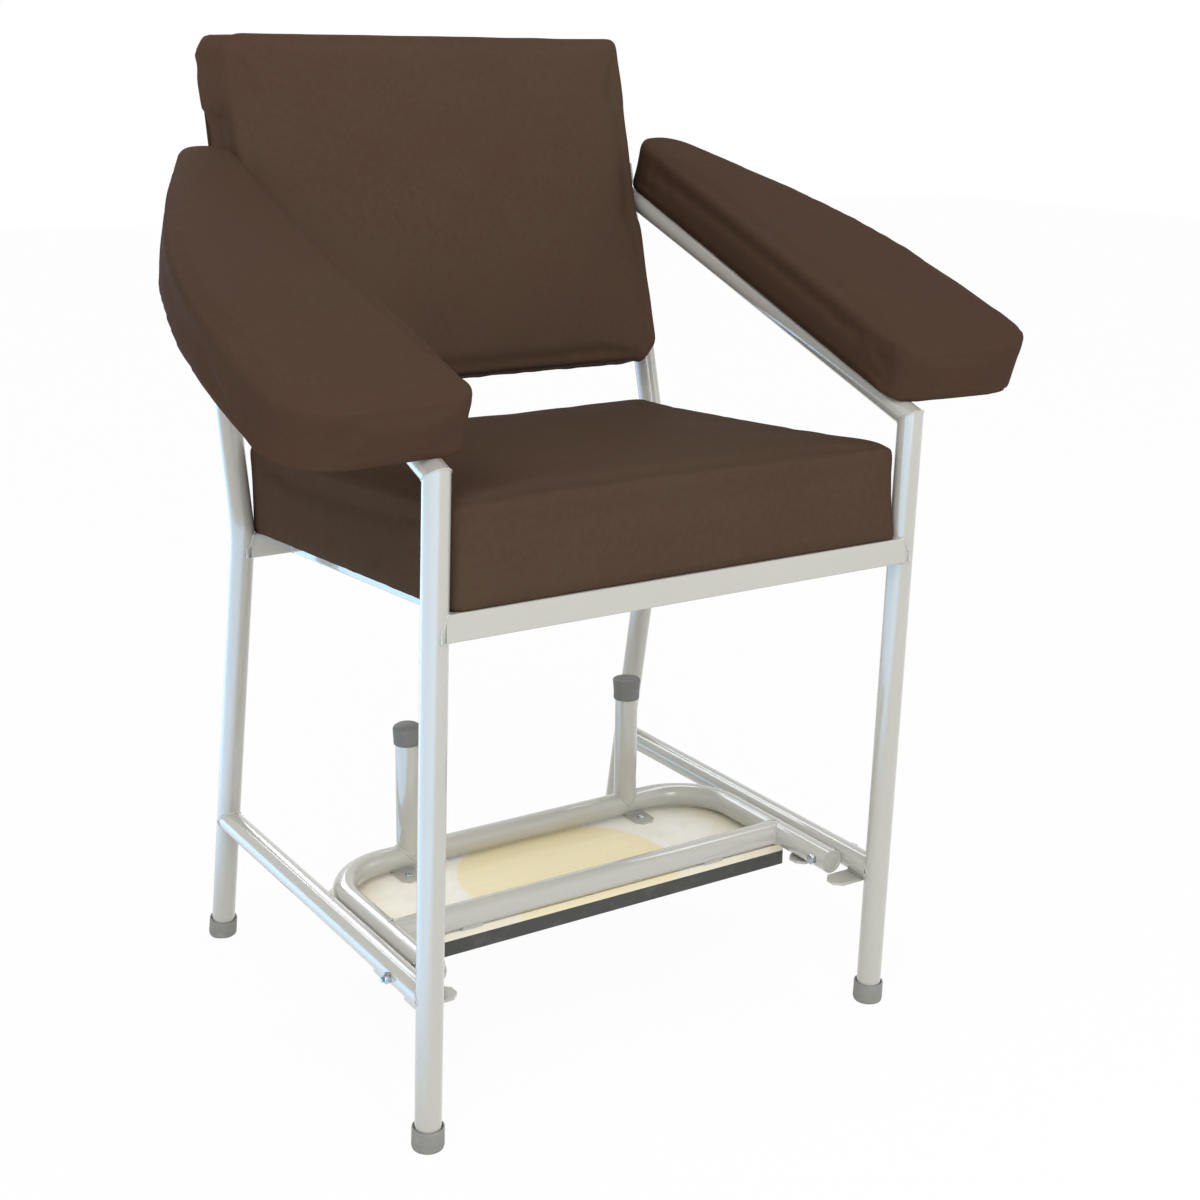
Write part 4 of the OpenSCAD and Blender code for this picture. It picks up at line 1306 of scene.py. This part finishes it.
@dataclass
class ArmPad:
    """An arm rest: straight inside, bellied outside, narrow at the rear.

    In the photograph the two pads aren't mounted alike, so each side has its
    own distance inboard of the rail and its own toe-in in degrees.
    """

    layout: Layout
    side: Side
    width: float = 183.5
    front_set: float = 6.0
    rear_set: float = 5.5
    inboard: float = 27.3
    toe_in: float = 2.3
    thickness: float = 57.5
    inner_corner: float = 24.0
    outer_corner: float = 55.0
    rear_corner: float = 28.0
    rear_width: float = 62.0
    belly_front: float = 158.0
    belly_rear: float = 252.0
    rear_turn: float = 30.0
    foot: float = 1.5

    @property
    def length(self) -> float:
        """Length of the pad."""
        return self.layout.arm_pitch - self.front_set - self.rear_set

    def ring(self) -> np.ndarray:
        """The pad's outline: X outwards, Y rearwards from its front."""
        w, l, r, turn = self.width, self.length, self.rear_corner, math.radians(self.rear_turn)
        i, o = self.inner_corner, self.outer_corner
        c = np.array([self.rear_width - r, l - r])
        end = c + r * np.array([math.cos(turn), math.sin(turn)])
        p0, p1 = np.array([w, o]), np.array([w, o + self.belly_front])
        p2 = end + self.belly_rear * np.array([math.sin(turn), -math.cos(turn)])
        t = np.linspace(0, 1, 32)[1:-1, None]
        belly = ((1 - t)**3 * p0 + 3 * (1 - t)**2 * t * p1 + 3 * (1 - t) * t**2 * p2
                 + t**3 * end)
        return np.vstack([
            arc(i, i, i, 180, 270, 8), arc(w - o, o, o, -90, 0, 12), belly,
            arc(c[0], c[1], r, self.rear_turn, 90, 6), arc(r, c[1], r, 100, 180, 8)])

    def build(self, vinyl: bpy.types.Material, zinc: bpy.types.Material) -> None:
        """Makes the pad's pieces."""
        middle = self.front_set + self.length / 2
        place = self.layout.arm_rail(self.side) \
            @ Matrix.Translation((0, middle, self.layout.r)) \
            @ Matrix.Rotation(math.radians(-self.toe_in), 4, "Z") \
            @ Matrix.Translation((-self.inboard, -self.length / 2, 0))
        ring, t, sign = self.ring(), self.thickness, self.side.value
        rim = inset(evened(ring, 6.0), 3.0)
        front = rim[(rim[:, 1] < 32.0)]
        front = front[np.argsort(front[:, 0])]
        line = np.column_stack([front, np.full(len(front), t - 3.0)])
        i, o = self.inner_corner, self.outer_corner
        details = [
            undulation(0.8, 120.0, 3.1 + sign),
            crease(line, 1.1, 3.0, 1.7 * sign, 26.0),
            crease(line - (0, 0, 6.0), -0.8, 4.5, 0.9, 22.0),
            foot_pulls(ring, t, 0.6, 60.0, 1.6),
        ]
        for angle, deep in ((-62, 0.9), (-40, 1.1), (-18, 0.7)):
            a = math.radians(angle)
            x, y = self.width - o + o * math.cos(a), o + o * math.sin(a)
            fold = upright_fold(x, y, 0, t * 0.75, 6)
            details.append(crease(fold, -deep, 3.6, angle, 40.0))
        fold = upright_fold(i * 0.3, i * 0.3, 0, t * 0.8, 6)
        details.append(crease(fold, -1.0, 3.6, 0.2, 40.0))
        form = SoftForm("pad_form", ring, t, 5.0, foot=self.foot, swell=3.0, waist=1.0)
        node = "arm_pad_" + self.side.name.lower()
        Upholstery(form, place, node, vinyl, zinc, details, hem_to=24.0).build()


# Welds


@dataclass(frozen=True)
class Rod:
    """A straight tube: a point on its axis, its direction and its radius."""

    start: Vector
    along: Vector
    radius: float


class Welder:
    """Lays rippled beads of weld round the joints of one body."""

    def __init__(self, step: float = 0.85, ripple_length: float = 2.6) -> None:
        """Starts with no beads."""
        self.maker = Maker()
        self.step = step
        self.ripple_length = ripple_length

    def bead(self, path: np.ndarray, outward: np.ndarray, size: float,
             closed: bool = True) -> None:
        """Lays one bead.

        Args:
            path: Points of its root.
            outward: A direction square to the path at each point.
            size: Its radius.
            closed: Whether it runs round.
        """
        both = np.hstack([path, outward])
        if closed:
            both = evened(both, self.step)
        path, outward = both[:, :3], both[:, 3:]
        along = np.concatenate([[0], np.cumsum(np.linalg.norm(np.diff(path, axis=0), axis=1))])
        wave = 1 + 0.09 * np.sin(2 * math.pi * along / self.ripple_length) \
            + 0.07 * ripple(along, 21.0, size)
        self.maker.sweep(path, outward, size * wave, closed)

    def cope(self, butt: Rod, host: Rod, offsets: np.ndarray, size: float) -> None:
        """Lays a bead where one tube butts another.

        Args:
            butt: The tube that ends, pointing to the other.
            host: The tube that it is welded to.
            offsets: Its outline, as offsets from its axis.
            size: The bead's radius.
        """
        e, d = np.array(host.along.normalized()), np.array(butt.along.normalized())
        w = np.array(butt.start) - np.array(host.start) + offsets
        w = w - (w @ e)[:, None] * e
        flat = d - (d @ e) * e
        a, b, c = flat @ flat, 2 * w @ flat, (w * w).sum(1) - host.radius**2
        t = (-b - np.sqrt(np.maximum(b * b - 4 * a * c, 0))) / (2 * a)
        self.bead(np.array(butt.start) + offsets + t[:, None] * d, offsets, size)

    def strip(self, start: Vector, end: Vector, outward: Vector, size: float) -> None:
        """Lays a straight bead between two points."""
        count = max(int((end - start).length / self.step), 4)
        path = np.array([start.lerp(end, k / count) for k in range(count + 1)])
        self.bead(path, np.tile(np.array(outward), (count + 1, 1)), size, False)


def round_offsets(along: Vector, radius: float, count: int = 96) -> np.ndarray:
    """Outline of a round tube as offsets square to its axis."""
    side = along.orthogonal().normalized()
    up = along.cross(side).normalized()
    ring = circle(count, radius)
    return ring[:, :1] * np.array(side) + ring[:, 1:] * np.array(up)


def square_offsets(side: Vector, up: Vector, width: float) -> np.ndarray:
    """Outline of a square tube as offsets square to its axis."""
    half, r = width / 2, 2.5
    ring = evened(np.vstack([
        arc(half - r, r - half, r, -90, 0, 3), arc(half - r, half - r, r, 0, 90, 3),
        arc(r - half, half - r, r, 90, 180, 3), arc(r - half, r - half, r, 180, 270, 3)]), 1.0)
    return ring[:, :1] * np.array(side) + ring[:, 1:] * np.array(up)


@dataclass
class ChairWelds:
    """The beads of the chair's frame."""

    layout: Layout
    size: float = 1.3

    def leg(self, side: Side, rear: bool) -> Rod:
        """A leg below the bend."""
        lay = self.layout
        y = lay.rear_foot if rear else lay.front_foot
        lean = math.radians(lay.rear_lean if rear else lay.front_lean)
        along = Vector((0, -math.sin(lean), math.cos(lean)))
        return Rod(Vector((side.value * lay.leg_x, y, 0)), along, lay.r)

    def upright(self, side: Side) -> Rod:
        """An upright above the bend."""
        lay = self.layout
        place = lay.upright
        start = place @ Vector((side.value * lay.leg_x, 0, 0))
        return Rod(start, place.to_3x3() @ Vector((0, 0, 1)), lay.r)

    def build(self, enamel: bpy.types.Material) -> None:
        """Makes the beads of the chair as one piece."""
        lay, welder = self.layout, Welder()
        seat, back = lay.seat, lay.upright
        turn = seat.to_3x3()
        seat_rail = square_offsets(turn @ Vector((0, 1, 0)), turn @ Vector((0, 0, 1)), lay.tube)
        for side in Side:
            s = side.value
            across, upright = Vector((s, 0, 0)), self.upright(side)
            for rear in (False, True):
                d, leg = Vector((0, 1 if rear else -1, 0)), self.leg(side, rear)
                rail = Rod(Vector((s * lay.leg_x, 0, lay.pivot_height)), d, lay.r)
                welder.cope(rail, leg, round_offsets(d, lay.r), self.size)
                rail = Rod(seat @ Vector((0, lay.seat_pitch if rear else 0, 0)), across, 0)
                welder.cope(rail, leg, seat_rail, self.size)
            for z in lay.back_rails:
                rail = Rod(back @ Vector((0, 0, z)), across, lay.r)
                welder.cope(rail, upright, round_offsets(across, lay.r), self.size)
            arm = lay.arm_rail(side)
            d = arm.to_3x3() @ Vector((0, 1, 0))
            rail = Rod(arm.translation, d, lay.r)
            welder.cope(rail, upright, round_offsets(d, lay.r), self.size)
            self.mitre(welder, side)
            self.side_rails(welder, s, seat)
            self.pad_plates(welder, arm)
            self.tabs(welder, s)
        welder.maker.piece("frame_welds", enamel, Slot.ENAMEL, Body.CHAIR, 60.0)

    def mitre(self, welder: Welder, side: Side) -> None:
        """The ground-down bead on the corner of leg and arm rail."""
        lay = self.layout
        z = lay.arm_height
        corner = Vector((side.value * lay.leg_x, lay.front_leg_y(z), z))
        fall = tangent((90 - lay.arm_slope - lay.front_lean) / 2)
        path = np.array([corner + Vector((x, y, -y * fall)) for x, y in circle(96, lay.r)])
        welder.bead(path, path - np.array(corner), 0.9)

    def side_rails(self, welder: Welder, s: int, seat: Matrix) -> None:
        """Beads at both ends of a seat side rail."""
        lay, turn = self.layout, seat.to_3x3()
        x = s * (lay.leg_x - lay.side_rail_inset)
        offsets = square_offsets(turn @ Vector((1, 0, 0)), turn @ Vector((0, 0, 1)), lay.tube)
        for y in (lay.r, lay.seat_pitch - lay.r):
            centre = np.array(seat @ Vector((x, y, 0)))
            welder.bead(centre + offsets, offsets, self.size * 0.9)

    def pad_plates(self, welder: Welder, arm: Matrix) -> None:
        """Beads where the pad plates meet the arm rail."""
        r, half = self.layout.r, 19.0
        z = r - self.layout.plate_thickness - 0.4
        x = math.sqrt(r**2 - z * z) + 0.2
        outward = arm.to_3x3() @ Vector((1, 0, -1))
        for y in self.layout.plate_rows:
            a, b = (arm @ Vector((x, y + by, z)) for by in (-half, half))
            welder.strip(a, b, outward, 1.7)

    def tabs(self, welder: Welder, s: int) -> None:
        """Beads along the stop tabs, under the lower side rail."""
        lay = self.layout
        z = lay.pivot_height - lay.r - lay.gap + 0.6
        near, half = lay.arm_overhang + 1.5, 5.0
        for start, end in ((-near - 25, -near), (near + 3, near + 28)):
            for x in (-half, half):
                a, b = (Vector((s * lay.leg_x + x, lay.pivot_y + y, z))
                        for y in (start + 1, end - 1))
                welder.strip(a, b, Vector((math.copysign(1, x), 0, 1)), 1.5)


@dataclass
class FootrestWelds:
    """The beads of the footrest."""

    layout: Layout
    size: float = 1.2

    def build(self, enamel: bpy.types.Material) -> None:
        """Makes the beads of the footrest as one piece."""
        lay, welder = self.layout, Welder()
        z, down = lay.pivot_height, Vector((0, 0, -1))
        loop_y, cross_y = lay.pivot_y + lay.loop_reach, lay.pivot_y + lay.cross_reach
        back = Rod(Vector((0, loop_y, z)), Vector((1, 0, 0)), lay.r)
        for side in Side:
            s = side.value
            d = Vector((s, 0, 0))
            arm = Rod(Vector((s * lay.footrest_arm_x, 0, z)), Vector((0, 1, 0)), lay.r)
            cross = Rod(Vector((0, cross_y, z)), d, lay.r)
            welder.cope(cross, arm, round_offsets(d, lay.r), self.size)
            post = Rod(Vector((s * lay.post_spacing / 2, loop_y, z + 60)), down, lay.r)
            welder.cope(post, back, round_offsets(down, lay.r), self.size * 1.15)
            for y in (loop_y, cross_y):
                self.lug(welder, s * lay.lug_spacing / 2, y)
            self.arm_end(welder, s)
        welder.maker.piece("footrest_welds", enamel, Slot.ENAMEL, Body.FOOTREST, 60.0)

    def lug(self, welder: Welder, x: float, y: float) -> None:
        """Beads along both edges of a lug, under its tube."""
        z = self.layout.pivot_height - self.layout.r + 0.7
        for edge in (-5.0, 5.0):
            a, b = (Vector((x + by, y + edge, z)) for by in (-11.0, 11.0))
            welder.strip(a, b, Vector((0, math.copysign(1, edge), 1)), 1.3)

    def arm_end(self, welder: Welder, s: int) -> None:
        """The bead round the disc that closes an arm's free end."""
        lay = self.layout
        y = lay.pivot_y - lay.arm_overhang + 0.9
        centre = np.array([s * lay.footrest_arm_x, y, lay.pivot_height])
        ring = circle(72, lay.r - 1.6)
        out = np.column_stack([ring[:, 0], np.zeros(len(ring)), ring[:, 1]])
        welder.bead(centre + out, out, 0.9)


# Rubber tips


@dataclass
class RubberTips:
    """The tips of the legs and posts."""

    layout: Layout

    def build(self, rubber: bpy.types.Material, dark: bpy.types.Material) -> None:
        """Makes the tips of the legs in one rubber and those of the posts in a darker one."""
        lay = self.layout
        for name, y, lean in (("front_leg_tips", lay.front_foot, lay.front_lean),
                              ("rear_leg_tips", lay.rear_foot, lay.rear_lean)):
            maker = Maker()
            for side in Side:
                maker.lathe(self.leg_profile(), tilted(side.value * lay.leg_x, y, 0, lean), 56)
            for points in maker.points:
                points[:, 2] = np.maximum(points[:, 2], 0.0)
            tips = maker.piece(name + "_moulded", rubber, Slot.TIP, Body.CHAIR, 55.0)
            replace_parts(tips, name)
        posts = Maker()
        y, top = lay.pivot_y + lay.loop_reach, 2 * lay.pivot_height - lay.gap
        for side in Side:
            place = tilted(side.value * lay.post_spacing / 2, y, top, 180)
            posts.lathe(self.post_profile(side), place, 56)
        name = "footrest_post_tips"
        tips = posts.piece(name + "_moulded", dark, Slot.TIP, Body.FOOTREST, 55.0)
        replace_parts(tips, name)

    def leg_profile(self) -> list[tuple[float, float]]:
        """Profile of a leg's tip, its foot cut off by the floor."""
        return [
            (0.0, -3.4), (9.0, -3.4), (11.8, -2.4), (13.8, -0.6), (14.9, 1.2), (15.4, 3.2),
            (15.5, 5.4), (15.45, 6.2), (15.2, 6.6), (15.4, 7.1), (15.35, 12.0), (15.3, 18.0),
            (15.35, 20.2), (15.2, 21.3), (14.7, 21.9), (14.0, 22.0), (13.5, 21.6),
            (13.35, 20.6), (12.95, 18.0), (12.72, 14.0), (12.5, 13.0), (0.0, 13.0),
        ]

    def post_profile(self, side: Side) -> list[tuple[float, float]]:
        """Profile of a post's tip, its foot at Z 0: flared on the right, domed on the left."""
        if side is Side.RIGHT:
            foot = [(0.0, 0.9), (8.0, 0.6), (13.4, 0.3), (14.9, 0.4), (15.5, 1.2), (15.6, 2.2),
                    (15.2, 5.0), (14.8, 10.0), (14.4, 15.0), (14.25, 17.6)]
        else:
            foot = [(0.0, 0.0), (4.0, 0.15), (8.0, 0.75), (11.4, 2.0), (13.8, 3.6), (15.0, 5.3),
                    (15.3, 6.6), (15.1, 7.0), (15.25, 7.5), (14.9, 13.0), (14.6, 17.6)]
        return foot + [(14.5, 18.4), (14.5, 22.0), (14.2, 22.8), (13.5, 23.0), (13.0, 22.6),
                       (12.8, 21.0), (12.5, 17.0), (0.0, 17.0)]


# Fasteners


@dataclass
class Fasteners:
    """Screws, nuts and bolts, with their drives, chamfers and threads."""

    layout: Layout

    def screw_head(self, maker: Maker, place: Matrix, shank: float) -> None:
        """Adds a domed head with a cross recess, its face towards +Z, on a short shank.

        Args:
            maker: What it is added to.
            place: Where the head's seat goes.
            shank: The shank's radius.
        """
        r, h = shank * 2, shank * 1.15
        arm, reach = 0.17 * r, 0.62 * r
        steps, count = 48, 15
        ring = circle(steps)
        rows = [np.column_stack([ring * radius, np.full(steps, z)]) for radius, z in
                ((shank, -1.5), (shank, 0.0), (r * 0.97, 0.0), (r, 0.25))]
        for k in range(count):
            share = math.cos(math.pi / 2 * k / (count - 1) * 0.985)
            flat = ring * r * share
            z = 0.25 + (h - 0.25) * math.sqrt(max(1 - share**2 * 0.999, 0))
            a, b = np.abs(flat[:, 0]), np.abs(flat[:, 1])
            slot = np.minimum(np.clip((arm - np.minimum(a, b)) / (0.07 * r), 0, 1),
                              np.clip((reach - np.maximum(a, b)) / (0.1 * r), 0, 1))
            rows.append(np.column_stack([flat, z - 0.55 * h * slot]))
        maker.add(*stacked(rows, floor=False), place)

    def hexagon(self, maker: Maker, place: Matrix, width: float, height: float,
                bore: float = 0.0, collar: float = 0.0) -> None:
        """Adds a hexagon with chamfered corners, from Z 0 up.

        Args:
            maker: What it is added to.
            place: Where its underside goes.
            width: Across its flats.
            height: Its height without a collar.
            bore: Radius of its hole, or 0 for none.
            collar: Height of a round collar on it.
        """
        steps, sixth = 72, math.pi / 3
        angle = np.linspace(0, 2 * math.pi, steps, endpoint=False)
        edge = width / 2 / np.cos((angle + sixth / 2) % sixth - sixth / 2)
        cuts = ((0, 0.50), (0.5, 0.55), (0.8, 0.6), (height - 0.9, 0.6),
                (height - 0.5, 0.55), (height, 0.49))
        rows = [(np.minimum(edge, width * limit)[:, None], z) for z, limit in cuts]
        rows.append((width * 0.44, height))
        top = height + collar
        if collar:
            rows += [(width * 0.42, height + collar * 0.7), (width * 0.37, top)]
        if bore:
            rows += [(bore + 0.5, top), (bore + 0.05, top - 0.4), (bore, top - 1.2)]
        else:
            rows += [(width * 0.3, top), (width * 0.1, top + 0.05)]
        unit = circle(steps)
        wall = [np.column_stack([unit * radius, np.full(steps, z)]) for radius, z in rows]
        maker.add(*stacked(wall), place)

    def pivots(self, zinc: bpy.types.Material) -> None:
        """Makes the pivot bolts and their lock nuts."""
        lay = self.layout
        bolts, nuts = Maker(), Maker()
        inner, outer = lay.footrest_arm_x - lay.r - lay.gap, lay.leg_x + lay.r
        end = outer + 8.5 - inner
        thread = [(0.0, 0.0), (2.95, 0.0), (2.95, end - 9.2)]
        for k in range(9):
            z = end - 9.0 + k
            thread += [(2.95, z), (2.95, z + 0.25), (2.5, z + 0.5), (2.5, z + 0.62)]
        thread += [(2.9, end - 0.45), (2.4, end), (0.0, end)]
        turn = Matrix.Rotation(math.radians(90), 4, "Y") @ Matrix.Rotation(0.35, 4, "Z")
        for side in Side:
            flip = Matrix.Diagonal((side.value, 1, 1, 1))
            head, nut = (flip @ Matrix.Translation((x, lay.pivot_y, lay.pivot_height)) @ turn
                         for x in (inner, outer))
            self.hexagon(bolts, head @ Matrix.Rotation(math.pi, 4, "X"), 10.0, 4.0)
            bolts.lathe(thread, head, 40)
            self.hexagon(nuts, nut, 10.0, 4.1, 3.0, 1.4)
        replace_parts(bolts.piece("pivot_bolts_threaded", zinc, Slot.ZINC, Body.CHAIR, 30.0),
                    "pivot_bolts")
        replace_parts(nuts.piece("pivot_nuts_chamfered", zinc, Slot.ZINC, Body.CHAIR, 30.0),
                    "pivot_nuts")

    def screws(self, zinc: bpy.types.Material) -> None:
        """Makes the screws of the seat, back, arm rests and footrest."""
        lay = self.layout
        over = Matrix.Rotation(math.pi, 4, "X")
        seat, back, arms, foot = Maker(), Maker(), Maker(), Maker()
        for k, side in enumerate(Side):
            s = side.value
            spin = [Matrix.Rotation(0.4 + 1.1 * j + k, 4, "Z") for j in range(4)]
            x = s * (lay.leg_x - lay.side_rail_inset)
            for j, y in enumerate((70.0, lay.seat_pitch - 70.0)):
                at = lay.seat @ Matrix.Translation((x, y, -lay.r)) @ over
                self.screw_head(seat, at @ spin[j], 2.5)
            for j, z in enumerate(lay.back_rails):
                at = lay.upright @ tilted(s * 150.0, lay.r, z, -90)
                self.screw_head(back, at @ spin[j], 2.5)
            z = lay.r - lay.plate_thickness
            for j, (x, y) in enumerate((x, y) for y in lay.plate_rows for x in (34.0, 90.0)):
                at = lay.arm_rail(side) @ Matrix.Translation((x, y, z)) @ over
                self.screw_head(arms, at @ spin[j], 2.5)
            x, z = s * lay.lug_spacing / 2, lay.pivot_height - lay.r
            for j, y in enumerate((lay.loop_reach - 19.5, lay.cross_reach + 19.5)):
                at = Matrix.Translation((x, lay.pivot_y + y, z))
                self.screw_head(foot, at @ spin[j], 2.0)
        for maker, name, body in (
                (seat, "seat_screws", Body.CHAIR), (back, "back_screws", Body.CHAIR),
                (arms, "arm_pad_screws", Body.CHAIR), (foot, "footrest_screws", Body.FOOTREST)):
            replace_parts(maker.piece(name + "_driven", zinc, Slot.ZINC, body, 35.0), name)


# Camera and studio


@dataclass(frozen=True)
class PhotoCamera:
    """The photograph's viewpoint, fitted to the frame's edges."""

    azimuth: float = -32.60
    elevation: float = 11.89
    roll: float = 0.59
    focal: float = 1860.71
    centre: tuple[float, float] = (584.17, 449.93)
    frame_size: float = 1200.0
    position: tuple[float, float, float] = (-981.72, -1612.96, 982.43)

    def build(self) -> None:
        """Makes the camera and sets it as the scene's."""
        a, e, r = (math.radians(v) for v in (self.azimuth, self.elevation, self.roll))
        back = Vector((math.sin(a) * math.cos(e), -math.cos(a) * math.cos(e), math.sin(e)))
        right = (-back).cross(Vector((0, 0, 1))).normalized()
        up = right.cross(-back)
        across = math.cos(r) * right + math.sin(r) * up
        upward = -math.sin(r) * right + math.cos(r) * up
        data = bpy.data.cameras.new("photo_camera")
        data.sensor_width = 36.0
        data.lens = self.focal / self.frame_size * data.sensor_width
        data.shift_x = (self.frame_size / 2 - self.centre[0]) / self.frame_size
        data.shift_y = (self.centre[1] - self.frame_size / 2) / self.frame_size
        camera = bpy.data.objects.new("photo_camera", data)
        bpy.context.scene.collection.objects.link(camera)
        place = Matrix((across, upward, back)).transposed().to_4x4()
        place.translation = Vector(self.position) * MM
        camera.matrix_world = place
        bpy.context.scene.camera = camera


@dataclass(frozen=True)
class Lamp:
    """A soft square lamp that points at the chair. A sheen only shows as a reflection."""

    name: str
    at: tuple[float, float, float]
    size: float
    power: float
    colour: Colour
    sheen: bool = False

    def build(self) -> None:
        """Makes the lamp."""
        data = bpy.data.lights.new(self.name, "AREA")
        data.size, data.energy, data.color = self.size, self.power, self.colour
        lamp = bpy.data.objects.new(self.name, data)
        bpy.context.scene.collection.objects.link(lamp)
        lamp.location = self.at
        towards = Vector((0, 0, 0.5)) - Vector(self.at)
        lamp.rotation_euler = towards.to_track_quat("-Z", "Y").to_euler()
        lamp.visible_diffuse = not self.sheen


LAMPS = (
    Lamp("window", (-0.3, -2.9, 1.9), 1.1, 16.0, (1.0, 1.0, 1.0)),
    Lamp("low_front", (-0.4, -2.4, 0.4), 0.9, 3.6, (1.0, 0.99, 0.98)),
    Lamp("right_fill", (2.6, -1.6, 1.5), 1.4, 8.0, (1.0, 0.97, 0.92)),
    Lamp("left_high", (-1.5, -1.4, 2.6), 1.2, 21.0, (1.0, 0.98, 0.95)),
    Lamp("top_sheen", (0.9, 0.5, 3.4), 2.2, 70.0, (0.92, 0.97, 1.0), True),
    Lamp("rear_sheen", (0.2, 3.1, 2.6), 2.0, 60.0, (0.84, 0.93, 1.0), True),
)


@dataclass(frozen=True)
class Studio:
    """A pale floor and a white surround.

    To the left of sheen_from the floor is bluish in reflections only, which
    gives the frame's tubes their cool edge.
    """

    floor_half: float = 9.0
    floor_colour: Colour = (0.88, 0.88, 0.88)
    floor_glow: float = 0.95
    ambient: float = 0.79
    sheen_from: float = -0.30
    sheen_ramp: float = 0.3
    sheen: float = 4.6
    sheen_colour: Colour = (0.42, 0.68, 1.0)

    def build(self) -> None:
        """Makes the floor, the world and the lamps."""
        self.floor()
        self.world()
        for lamp in LAMPS:
            lamp.build()

    def rays(self, g: Graph) -> Sock:
        """1 for camera, glossy and transmission rays, 0 for the others."""
        total = g.node("ShaderNodeLightPath", {}, {}, "Is Camera Ray")
        outputs = total.socket.node.outputs
        for name in ("Is Glossy Ray", "Is Transmission Ray"):
            total = (total + Sock(g, outputs[name])).clamp()
        return total

    def floor(self) -> None:
        """Makes the floor, near white to the camera but with the chair's soft shadow."""
        h = self.floor_half
        mesh = bpy.data.meshes.new("floor")
        mesh.from_pydata([(-h, -h, 0), (h, -h, 0), (h, h, 0), (-h, h, 0)], [], [(0, 1, 2, 3)])
        g = Graph("studio_floor")
        mesh.materials.append(g.finish(self.floor_colour, 0.9, Specular_IOR_Level=0.0))
        matt = Sock(g, g.shader.outputs[0])
        glow = g.node("ShaderNodeEmission", {}, {"Color": (1.0, 1.0, 1.0, 1.0)})
        share = self.rays(g) * self.floor_glow
        shown = g.node("ShaderNodeMixShader", {}, {0: share, 1: matt, 2: glow})
        at = g.parts_of(g.place_in_model())[0]
        left = g.node("ShaderNodeMapRange", {}, {
            "Value": at, "From Min": self.sheen_from,
            "From Max": self.sheen_from - self.sheen_ramp})
        glossy = g.node("ShaderNodeLightPath", {}, {}, "Is Glossy Ray")
        blue = g.node("ShaderNodeEmission", {}, {
            "Color": (*self.sheen_colour, 1.0), "Strength": self.sheen})
        shown = g.node("ShaderNodeMixShader", {}, {0: left * glossy, 1: shown, 2: blue})
        g.feed(g.tree.nodes["Material Output"].inputs["Surface"], shown)
        floor = bpy.data.objects.new("floor", mesh)
        bpy.context.scene.collection.objects.link(floor)

    def world(self) -> None:
        """Makes the surround: white to the camera and in reflections, softer as light."""
        g = Graph("studio", world=True)
        bpy.context.scene.world = g.owner
        inputs = g.shader.inputs
        inputs["Color"].default_value = (1.0, 1.0, 1.0, 1.0)
        g.feed(inputs["Strength"], g.node("ShaderNodeMapRange", {}, {
            "Value": self.rays(g), "To Min": self.ambient, "To Max": 1.0}))


def dress_nodes(finishes: dict[str, bpy.types.Material]) -> None:
    """Gives each CAD node that still shows the material of its slot.

    Args:
        finishes: Materials by the record's slot names, or by node name.
    """
    slots = {row["node"]: row["material_slot"] for row in frame["record"]["subparts"]}
    for name, node in frame["nodes"].items():
        material = finishes.get(name, finishes[slots[name]])
        node.data.materials.clear()
        node.data.materials.append(material)
        log.info("%s: %s", name, material.name)


def main() -> None:
    """Builds the scene in order."""
    logging.basicConfig(level=logging.INFO, format="%(name)s: %(message)s")
    bpy.context.scene.view_settings.view_transform = "Standard"
    layout = Layout()
    PhotoCamera().build()
    Studio().build()
    seat_vinyl = Vinyl("vinyl_seat", mottle=0.45).material()
    # The back's copy of the vinyl has a lighter base colour than the seat's: painted light on
    # the back.
    back_vinyl_painted_lighter = Vinyl(
        "vinyl_back_painted_lighter", (0.083, 0.047, 0.034), (0.083, 0.0545, 0.036), 0.72).material()
    # The arm pads' copy of the vinyl has a darker base colour than the seat's: painted shade on
    # the pads.
    pad_vinyl_painted_darker = Vinyl(
        "vinyl_pads_painted_darker", (0.071, 0.041, 0.0285), (0.071, 0.047, 0.030), 0.2).material()
    enamel = Enamel("enamel_frame").material()
    zinc = Zinc("zinc_plate").material()
    rubber = Rubber("rubber_tips").material()
    dark_rubber = Rubber(
        "rubber_post_tips", (0.17, 0.17, 0.165), (0.28, 0.275, 0.26)).material()
    tread = Rubber(
        "rubber_tread", (0.061, 0.064, 0.060), (0.12, 0.12, 0.11), 0.7, 420.0).material()
    board = Plywood("plywood_footrest").material()
    plain_board = Plywood("plywood_plain", patch=False).material()
    dress_nodes({
        "enamel": enamel, "vinyl": seat_vinyl, "plywood": plain_board, "rubber_tip": rubber,
        "rubber_tread": tread, "zinc": zinc, "footrest_board": board,
    })
    SeatCushion(layout).build(seat_vinyl, zinc)
    BackCushion(layout).build(back_vinyl_painted_lighter, zinc)
    ArmPad(layout, Side.LEFT).build(pad_vinyl_painted_darker, zinc)
    ArmPad(layout, Side.RIGHT, inboard=14.5, toe_in=1.4).build(pad_vinyl_painted_darker, zinc)
    ChairWelds(layout).build(enamel)
    FootrestWelds(layout).build(enamel)
    RubberTips(layout).build(rubber, dark_rubber)
    fasteners = Fasteners(layout)
    fasteners.pivots(zinc)
    fasteners.screws(zinc)


if __name__ == "__main__":
    main()
